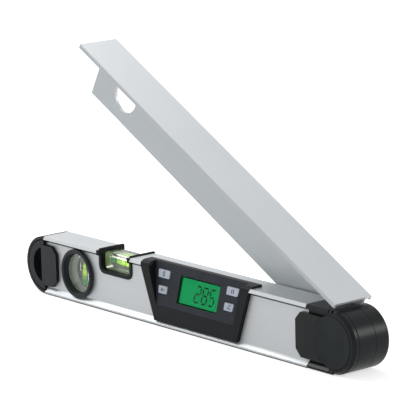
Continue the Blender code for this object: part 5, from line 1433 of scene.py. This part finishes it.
@dataclass
class Display(BodySet):
    """The tilted display: bezel, backlit panel with its reading, window and buttons."""

    x: float = 40 * MM
    foot_z: float = 21.4 * MM
    tilt: float = math.radians(15)
    cap_height: float = 0.9 * MM
    digit_height: float = 15.5 * MM
    digit_width: float = 7.0 * MM
    digit_pitch: float = 10.6 * MM
    digit_x: float = -2.0 * MM
    digit_v: float = 19.2 * MM
    slant: float = math.radians(6)
    reading: str = "285"
    glass_depth: float = -2.1 * MM
    glass_middle: float = 19.5 * MM
    glass_width: float = 58.8 * MM
    glass_height: float = 27.3 * MM
    glass_shift: float = 1 * MM
    mask: float = 1.3 * MM
    mask_low: float = -2.2 * MM
    mask_high: float = -2.12 * MM
    stroke: float = 2.0 * MM
    relief: float = 0.04 * MM
    point_length: float = 1.3 * MM
    point_width: float = 1.2 * MM
    print_rise: float = 0.03 * MM
    segments: dict[str, str] = field(default_factory=lambda: {"2": "abged", "8": "abcdefg", "5": "afgcd"})

    @property
    def out(self) -> Vector:
        """The way out of the tilted panel."""
        return Vector((0, -math.cos(self.tilt), math.sin(self.tilt)))

    def place(self) -> Matrix:
        """The panel's frame: X along the body, Y up the slope, Z out of the panel."""
        up = Vector((0, math.sin(self.tilt), math.cos(self.tilt)))
        return axes((1, 0, 0), up, self.out, (self.x, self.front, self.foot_z))

    def build(self, bench: Bench) -> None:
        """Dress the bezel and make the reading, the window and the buttons.

        Args:
            bench: Where pieces are made and put on their bodies.
        """
        bezel = bench.smooth_copy("display_bezel", "tilted_bezel", "chin", Body.BODY, Slot.BLACK)
        bench.accent(bezel, "case", lambda face: face.center.z > self.foot_z)
        bench.accent(bezel, "panel",
                     lambda face: face.center.z > self.foot_z and face.normal.dot(self.out) > 0.999)
        bench.smooth_copy("lcd_module", "lcd_glass", "lcd", Body.BODY, Slot.LCD)
        bench.smooth_copy("lcd_window", "lcd_pane", "window", Body.BODY, Slot.CLEAR)
        self.border(bench)
        self.digits(bench)
        self.buttons(bench)
        bench.dress("board", "main_board")
        bench.dress("case", "buzzer", "display_rear_cover")
        bench.dress("zinc", *(f"display_screw_{i}" for i in range(1, 5)))

    def border(self, bench: Bench) -> None:
        """The dark border printed round the liquid crystal, behind the pane.

        Args:
            bench: Where pieces are made and put on their bodies.
        """
        outer, inner = (
            [(sx * (self.glass_width / 2 - inset) + self.glass_shift,
              self.glass_middle + sv * (self.glass_height / 2 - inset))
             for sx, sv in ((-1, -1), (1, -1), (1, 1), (-1, 1))]
            for inset in (0.0, self.mask))
        border = bench.plate("lcd_border", outer, self.mask_low, self.mask_high, self.place(), "groove",
                             holes=[inner])
        bench.settle(border, Body.BODY, Slot.LCD)

    def digits(self, bench: Bench) -> None:
        """The dark segments of the reading, and its decimal point.

        Args:
            bench: Where pieces are made and put on their bodies.
        """
        half_w, half_h = self.digit_width / 2, self.digit_height / 2
        spots = {
            "a": (0, half_h, 0), "g": (0, 0, 0), "d": (0, -half_h, 0),
            "f": (-half_w, half_h / 2, 1), "b": (half_w, half_h / 2, 1),
            "e": (-half_w, -half_h / 2, 1), "c": (half_w, -half_h / 2, 1),
        }
        points, turns = [], []
        shear = math.tan(self.slant)
        for i, figure in enumerate(self.reading):
            for key in self.segments[figure]:
                dx, dv, upright = spots[key]
                x = self.digit_x + i * self.digit_pitch + dx + dv * shear
                points.append(Vector((x, self.digit_v + dv, self.glass_depth)))
                turns.append(math.pi / 2 - self.slant if upright else 0.0)
        point_x = self.digit_x + 1.5 * self.digit_pitch - half_h * shear
        point = Vector((point_x, self.digit_v - half_h, self.glass_depth))
        tree = segment_tree(bench.palette.get("segment"))
        for name, spots_used, angles, length, width in (
                ("reading_segments", points, turns, self.digit_width, self.stroke),
                ("reading_point", [point], [0.0], self.point_length, self.point_width)):
            sizes = {"Length": length, "Width": width, "Thickness": self.relief}
            bench.settle(tree.grow(name, spots_used, angles, sizes, self.place()), Body.BODY, Slot.LCD)

    def buttons(self, bench: Bench) -> None:
        """The four caps and the sign printed on each.

        Args:
            bench: Where pieces are made and put on their bodies.
        """
        for key, body in (("zero", Body.ZERO), ("sound", Body.SOUND), ("hold", Body.HOLD),
                          ("reference", Body.REFERENCE)):
            bench.smooth_copy(f"button_{key}", f"{key}_cap", "button", body, Slot.BUTTON)
        self.zero_sign(bench, -53 * MM, 30.6 * MM)
        self.sound_sign(bench, -51.2 * MM, 15.3 * MM)
        self.hold_sign(bench, 49.6 * MM, 30.6 * MM)
        self.angle_sign(bench, 45.4 * MM, 13.6 * MM)

    def sign(self, bench: Bench, name: str, outline: Outline, body: Body,
             holes: Iterable[Outline] = ()) -> None:
        """Print a sign on a cap.

        Args:
            bench: Where pieces are made and put on their bodies.
            name: The sign's name.
            outline: Its outline on the panel.
            body: The cap's body.
            holes: Outlines of its holes.
        """
        low, high = self.cap_height, self.cap_height + self.print_rise
        printed = bench.plate(name, outline, low, high, self.place(), "print", holes=holes)
        bench.settle(printed, body, Slot.BLACK)

    def zero_sign(self, bench: Bench, x: float, v: float) -> None:
        """A narrow zero about a point of the panel."""
        self.sign(bench, "zero_sign", ellipse(x, v, 1.75 * MM, 2.7 * MM), Body.ZERO,
                  [ellipse(x, v, 0.8 * MM, 1.75 * MM)])

    def sound_sign(self, bench: Bench, x: float, v: float) -> None:
        """A loudspeaker with two waves, its mouth at a point of the panel.

        Args:
            bench: Where pieces are made and put on their bodies.
            x: The point along the panel.
            v: The point up the panel.
        """
        back, neck, throat, mouth = 2.4 * MM, 1.4 * MM, 0.8 * MM, 2.1 * MM
        horn = [(x - back, v - throat), (x - neck, v - throat), (x, v - mouth), (x, v + mouth),
                (x - neck, v + throat), (x - back, v + throat)]
        self.sign(bench, "sound_sign", horn, Body.SOUND)
        start, half, spread = x + 0.2 * MM, 0.2 * MM, 42
        for i, radius in enumerate((1.4 * MM, 2.5 * MM)):
            outer = arc(start, v, radius + half, -spread, spread)
            inner = arc(start, v, radius - half, spread, -spread)
            self.sign(bench, f"sound_wave_{i + 1}", outer + inner, Body.SOUND)

    def hold_sign(self, bench: Bench, x: float, v: float) -> None:
        """Two upright bars about a point of the panel.

        Args:
            bench: Where pieces are made and put on their bodies.
            x: The point along the panel.
            v: The point up the panel.
        """
        half, reach = 0.55 * MM, 2 * MM
        for i, offset in enumerate((-1.3 * MM, 1.3 * MM)):
            left, right = x + offset - half, x + offset + half
            bar = [(left, v - reach), (right, v - reach), (right, v + reach), (left, v + reach)]
            self.sign(bench, f"hold_sign_{i + 1}", bar, Body.HOLD)

    def angle_sign(self, bench: Bench, x: float, v: float) -> None:
        """An angle whose corner is at a point of the panel.

        Args:
            bench: Where pieces are made and put on their bodies.
            x: The point along the panel.
            v: The point up the panel.
        """
        corners = ((0, 0), (5.2, 0), (5.2, 0.6), (1.3, 0.6), (4.6, 3.9), (4.1, 4.3))
        angle = [(x + across * MM, v + up * MM) for across, up in corners]
        self.sign(bench, "reference_sign", angle, Body.REFERENCE)


@dataclass
class HingeJoint(BodySet):
    """The fixed side of the hinge: housing, front cover, disc, axle and what they hold."""

    disc_front: float = -17.3 * MM
    disc_rear: float = -14.5 * MM
    disc_edge: float = 1.2 * MM

    def build(self, bench: Bench) -> None:
        """Dress the joint's pieces and make the front disc.

        Args:
            bench: Where pieces are made and put on their bodies.
        """
        bench.smooth_copy("joint_housing", "hinge_housing", "hub", Body.BODY, Slot.BLACK)
        bench.smooth_copy("joint_front_cover", "hinge_front_cover", "hub", Body.BODY, Slot.BLACK)
        self.disc(bench)
        bench.dress("zinc", "pivot_axle", "spring_washer", "axle_nut",
                    *(f"cover_screw_{i}" for i in range(1, 4)))
        bench.dress("nylon", "friction_washer")
        bench.dress("board", "sensor_board")

    def disc(self, bench: Bench) -> None:
        """The slightly dished front disc with its soft rim.

        Args:
            bench: Where pieces are made and put on their bodies.
        """
        radius, front, edge = self.disc_radius, self.disc_front, self.disc_edge
        profile = [(0.0, self.disc_rear), (radius, self.disc_rear)]
        profile += [(radius - edge + edge * math.cos(turn), front + edge - edge * math.sin(turn))
                    for turn in (math.pi / 2 * i / 6 for i in range(7))]
        profile += [(radius - 2.2 * MM, front + 0.12 * MM), (radius * 0.5, front + 0.22 * MM),
                    (0.0, front + 0.26 * MM)]
        disc = bench.lathe("hinge_front_disc", profile, self.pivot_x, self.middle_z, "disc")
        bench.settle(disc, Body.BODY, Slot.BLACK, "hub_disc_front")


@dataclass
class FoldingArm(BodySet):
    """The arm with its hub."""

    def build(self, bench: Bench) -> None:
        """Dress the arm, its hub, the rear disc and what the hub holds.

        Args:
            bench: Where pieces are made and put on their bodies.
        """
        arm = bench.smooth_copy("arm_profile", "extruded_arm", "arm_metal", Body.ARM, Slot.ANODISED)
        # Painted shade: the web's front faces are darker, for the flange's shade
        bench.accent(arm, "web_metal_painted_shade", lambda face: face.normal.y < self.toward_front)
        bench.smooth_copy("arm_hub", "arm_hub_drum", "hub", Body.ARM, Slot.BLACK)
        bench.smooth_copy("hub_disc_rear", "hinge_rear_disc", "disc", Body.ARM, Slot.BLACK)
        bench.dress("zinc", *(f"hub_screw_{i}" for i in range(1, 4)))
        bench.dress("board", "encoder_disc")


@dataclass
class BatteryBay(BodySet):
    """The battery compartment at the back."""

    x: float = 149 * MM
    rib_first: float = 22 * MM
    rib_pitch: float = 2.4 * MM
    rib_count: int = 5
    rib_rise: float = 0.35
    door_face: float = 16.2 * MM

    def build(self, bench: Bench) -> None:
        """Dress the door, its rails, the cells and the contacts, and grow the grip ribs.

        Args:
            bench: Where pieces are made and put on their bodies.
        """
        bench.smooth_copy("battery_door", "sliding_door", "case", Body.DOOR, Slot.BLACK)
        bench.smooth_copy("battery_door_rails", "door_rails", "case", Body.BODY, Slot.BLACK)
        bench.dress("case", "battery_holder")
        bench.dress("wrap", "battery_cell_1", "battery_cell_2")
        bench.dress("zinc", "contact_bridge", "contact_upper", "contact_lower")
        turn = Matrix.Rotation(math.radians(-90), 4, "X")
        points = [Vector((self.x + self.rib_first - i * self.rib_pitch, -self.middle_z, self.door_face))
                  for i in range(self.rib_count)]
        tree = rib_tree(bench.palette.get("case"))
        ribs = tree.grow("door_grip_ribs", points, sizes={"Height": self.rib_rise}, place=turn)
        bench.settle(ribs, Body.DOOR, Slot.BLACK)


def direct_rays(tree: bpy.types.NodeTree) -> bpy.types.NodeSocket:
    """Tell the rays that see the background: straight, in a mirror or through glass.

    Args:
        tree: The tree of the floor's material or of the world.

    Returns:
        A socket that is 1 on those rays and 0 on the rays that only light the tool.
    """
    path = tree.nodes.new("ShaderNodeLightPath")
    straight = calculate(tree, "MAXIMUM", path.outputs["Is Camera Ray"], path.outputs["Is Transmission Ray"])
    return calculate(tree, "MAXIMUM", straight, path.outputs["Is Glossy Ray"])


@dataclass(frozen=True)
class Lamp:
    """A square soft lamp."""

    name: str
    place: tuple[float, float, float]
    size: float
    power: float

    def hang(self, target: Sequence[float]) -> None:
        """Hang the lamp so that it points at a target.

        Args:
            target: The point that it lights.
        """
        light = bpy.data.lights.new(self.name, "AREA")
        light.shape = "SQUARE"
        light.size = self.size
        light.energy = self.power
        thing = bpy.data.objects.new(self.name, light)
        bpy.context.scene.collection.objects.link(thing)
        aim = Vector(target) - Vector(self.place)
        turn = aim.to_track_quat("-Z", "Y").to_matrix().to_4x4()
        thing.matrix_world = Matrix.Translation(self.place) @ turn


@dataclass
class Studio:
    """Floor, soft light and the camera at the photograph's view."""

    azimuth: float = 50.55
    elevation: float = 12.10
    roll: float = -1.53
    distance: float = 2.5559
    target: tuple[float, float, float] = (0.04737, -0.003, 0.12467)
    lens: float = 234.4
    sensor: float = 36.0
    white: float = 0.86
    lift: float = 0.62
    world_strength: float = 0.36
    floor_half: float = 8.0
    floor_drop: float = 0.2 * MM
    lamps: tuple[Lamp, ...] = (
        Lamp("key", (-1.6, -0.75, 1.6), 0.9, 17.0),
        Lamp("front", (0.5, -2.0, 1.3), 1.6, 2.0),
        Lamp("top", (-0.9, 0.5, 1.9), 1.4, 13.0),
        Lamp("side", (1.6, 1.3, 0.8), 0.6, 12.0))

    def build(self) -> None:
        """Make the floor, the world, the lamps and the camera."""
        bpy.context.scene.view_settings.view_transform = "Standard"
        self.floor()
        self.world()
        for lamp in self.lamps:
            lamp.hang(self.target)
        self.camera()

    def floor(self) -> None:
        """A pale floor that direct rays see as white, with the tool's shadow on it."""
        work = bmesh.new()
        bmesh.ops.create_grid(work, x_segments=1, y_segments=1, size=self.floor_half)
        mesh = drain(work, "floor")
        graph = Graph("pale_floor")
        paint = graph.add("ShaderNodeBsdfDiffuse", {"Color": (self.white, self.white, self.white, 1.0)})
        glow = graph.add("ShaderNodeEmission", {"Color": (1.0, 1.0, 1.0, 1.0)})
        strength = calculate(graph.tree, "MULTIPLY", direct_rays(graph.tree), self.lift)
        graph.link(strength, glow.inputs["Strength"])
        both = graph.add("ShaderNodeAddShader")
        graph.link(paint.outputs["BSDF"], both.inputs[0])
        graph.link(glow.outputs["Emission"], both.inputs[1])
        graph.link(both.outputs["Shader"], graph.output.inputs["Surface"])
        mesh.materials.append(graph.material)
        floor = plain_object("studio_floor", mesh)
        floor.location.z = -self.floor_drop

    def world(self) -> None:
        """An even pale world, white to direct rays."""
        world = bpy.data.worlds.new("studio")
        bpy.context.scene.world = world
        world.use_nodes = True
        tree = world.node_tree
        background = tree.nodes["Background"]
        background.inputs["Color"].default_value = (1.0, 1.0, 1.0, 1.0)
        level = tree.nodes.new("ShaderNodeMapRange")
        level.inputs["To Min"].default_value = self.world_strength
        level.inputs["To Max"].default_value = 1.0
        tree.links.new(direct_rays(tree), level.inputs["Value"])
        tree.links.new(level.outputs["Result"], background.inputs["Strength"])

    def camera(self) -> None:
        """The camera, from the fitted view of the photograph."""
        around, up = math.radians(self.azimuth), math.radians(self.elevation)
        away = Vector((math.sin(around) * math.cos(up), -math.cos(around) * math.cos(up), math.sin(up)))
        place = Vector(self.target) + away * self.distance
        right = (-away).cross(Vector((0, 0, 1))).normalized()
        above = right.cross(-away).normalized()
        roll = math.radians(self.roll)
        side = right * math.cos(roll) + above * math.sin(roll)
        top = above * math.cos(roll) - right * math.sin(roll)
        lens = bpy.data.cameras.new("photo_camera")
        lens.lens = self.lens
        lens.sensor_width = self.sensor
        lens.clip_end = 50.0
        thing = bpy.data.objects.new("photo_camera", lens)
        bpy.context.scene.collection.objects.link(thing)
        thing.matrix_world = axes(side, top, away, place)
        bpy.context.scene.camera = thing


def main() -> None:
    """Dress the whole tool and set the studio."""
    logging.basicConfig(level=logging.INFO, format="%(name)s: %(message)s")
    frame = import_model()
    bench = Bench(frame["nodes"])
    Studio().build()
    for part in (AluminiumBody(), PlumbVial(), LevelVial(), Display(), HingeJoint(), FoldingArm(),
                 BatteryBay()):
        part.build(bench)
        LOG.info("%s done", type(part).__name__)


if __name__ == "__main__":
    main()
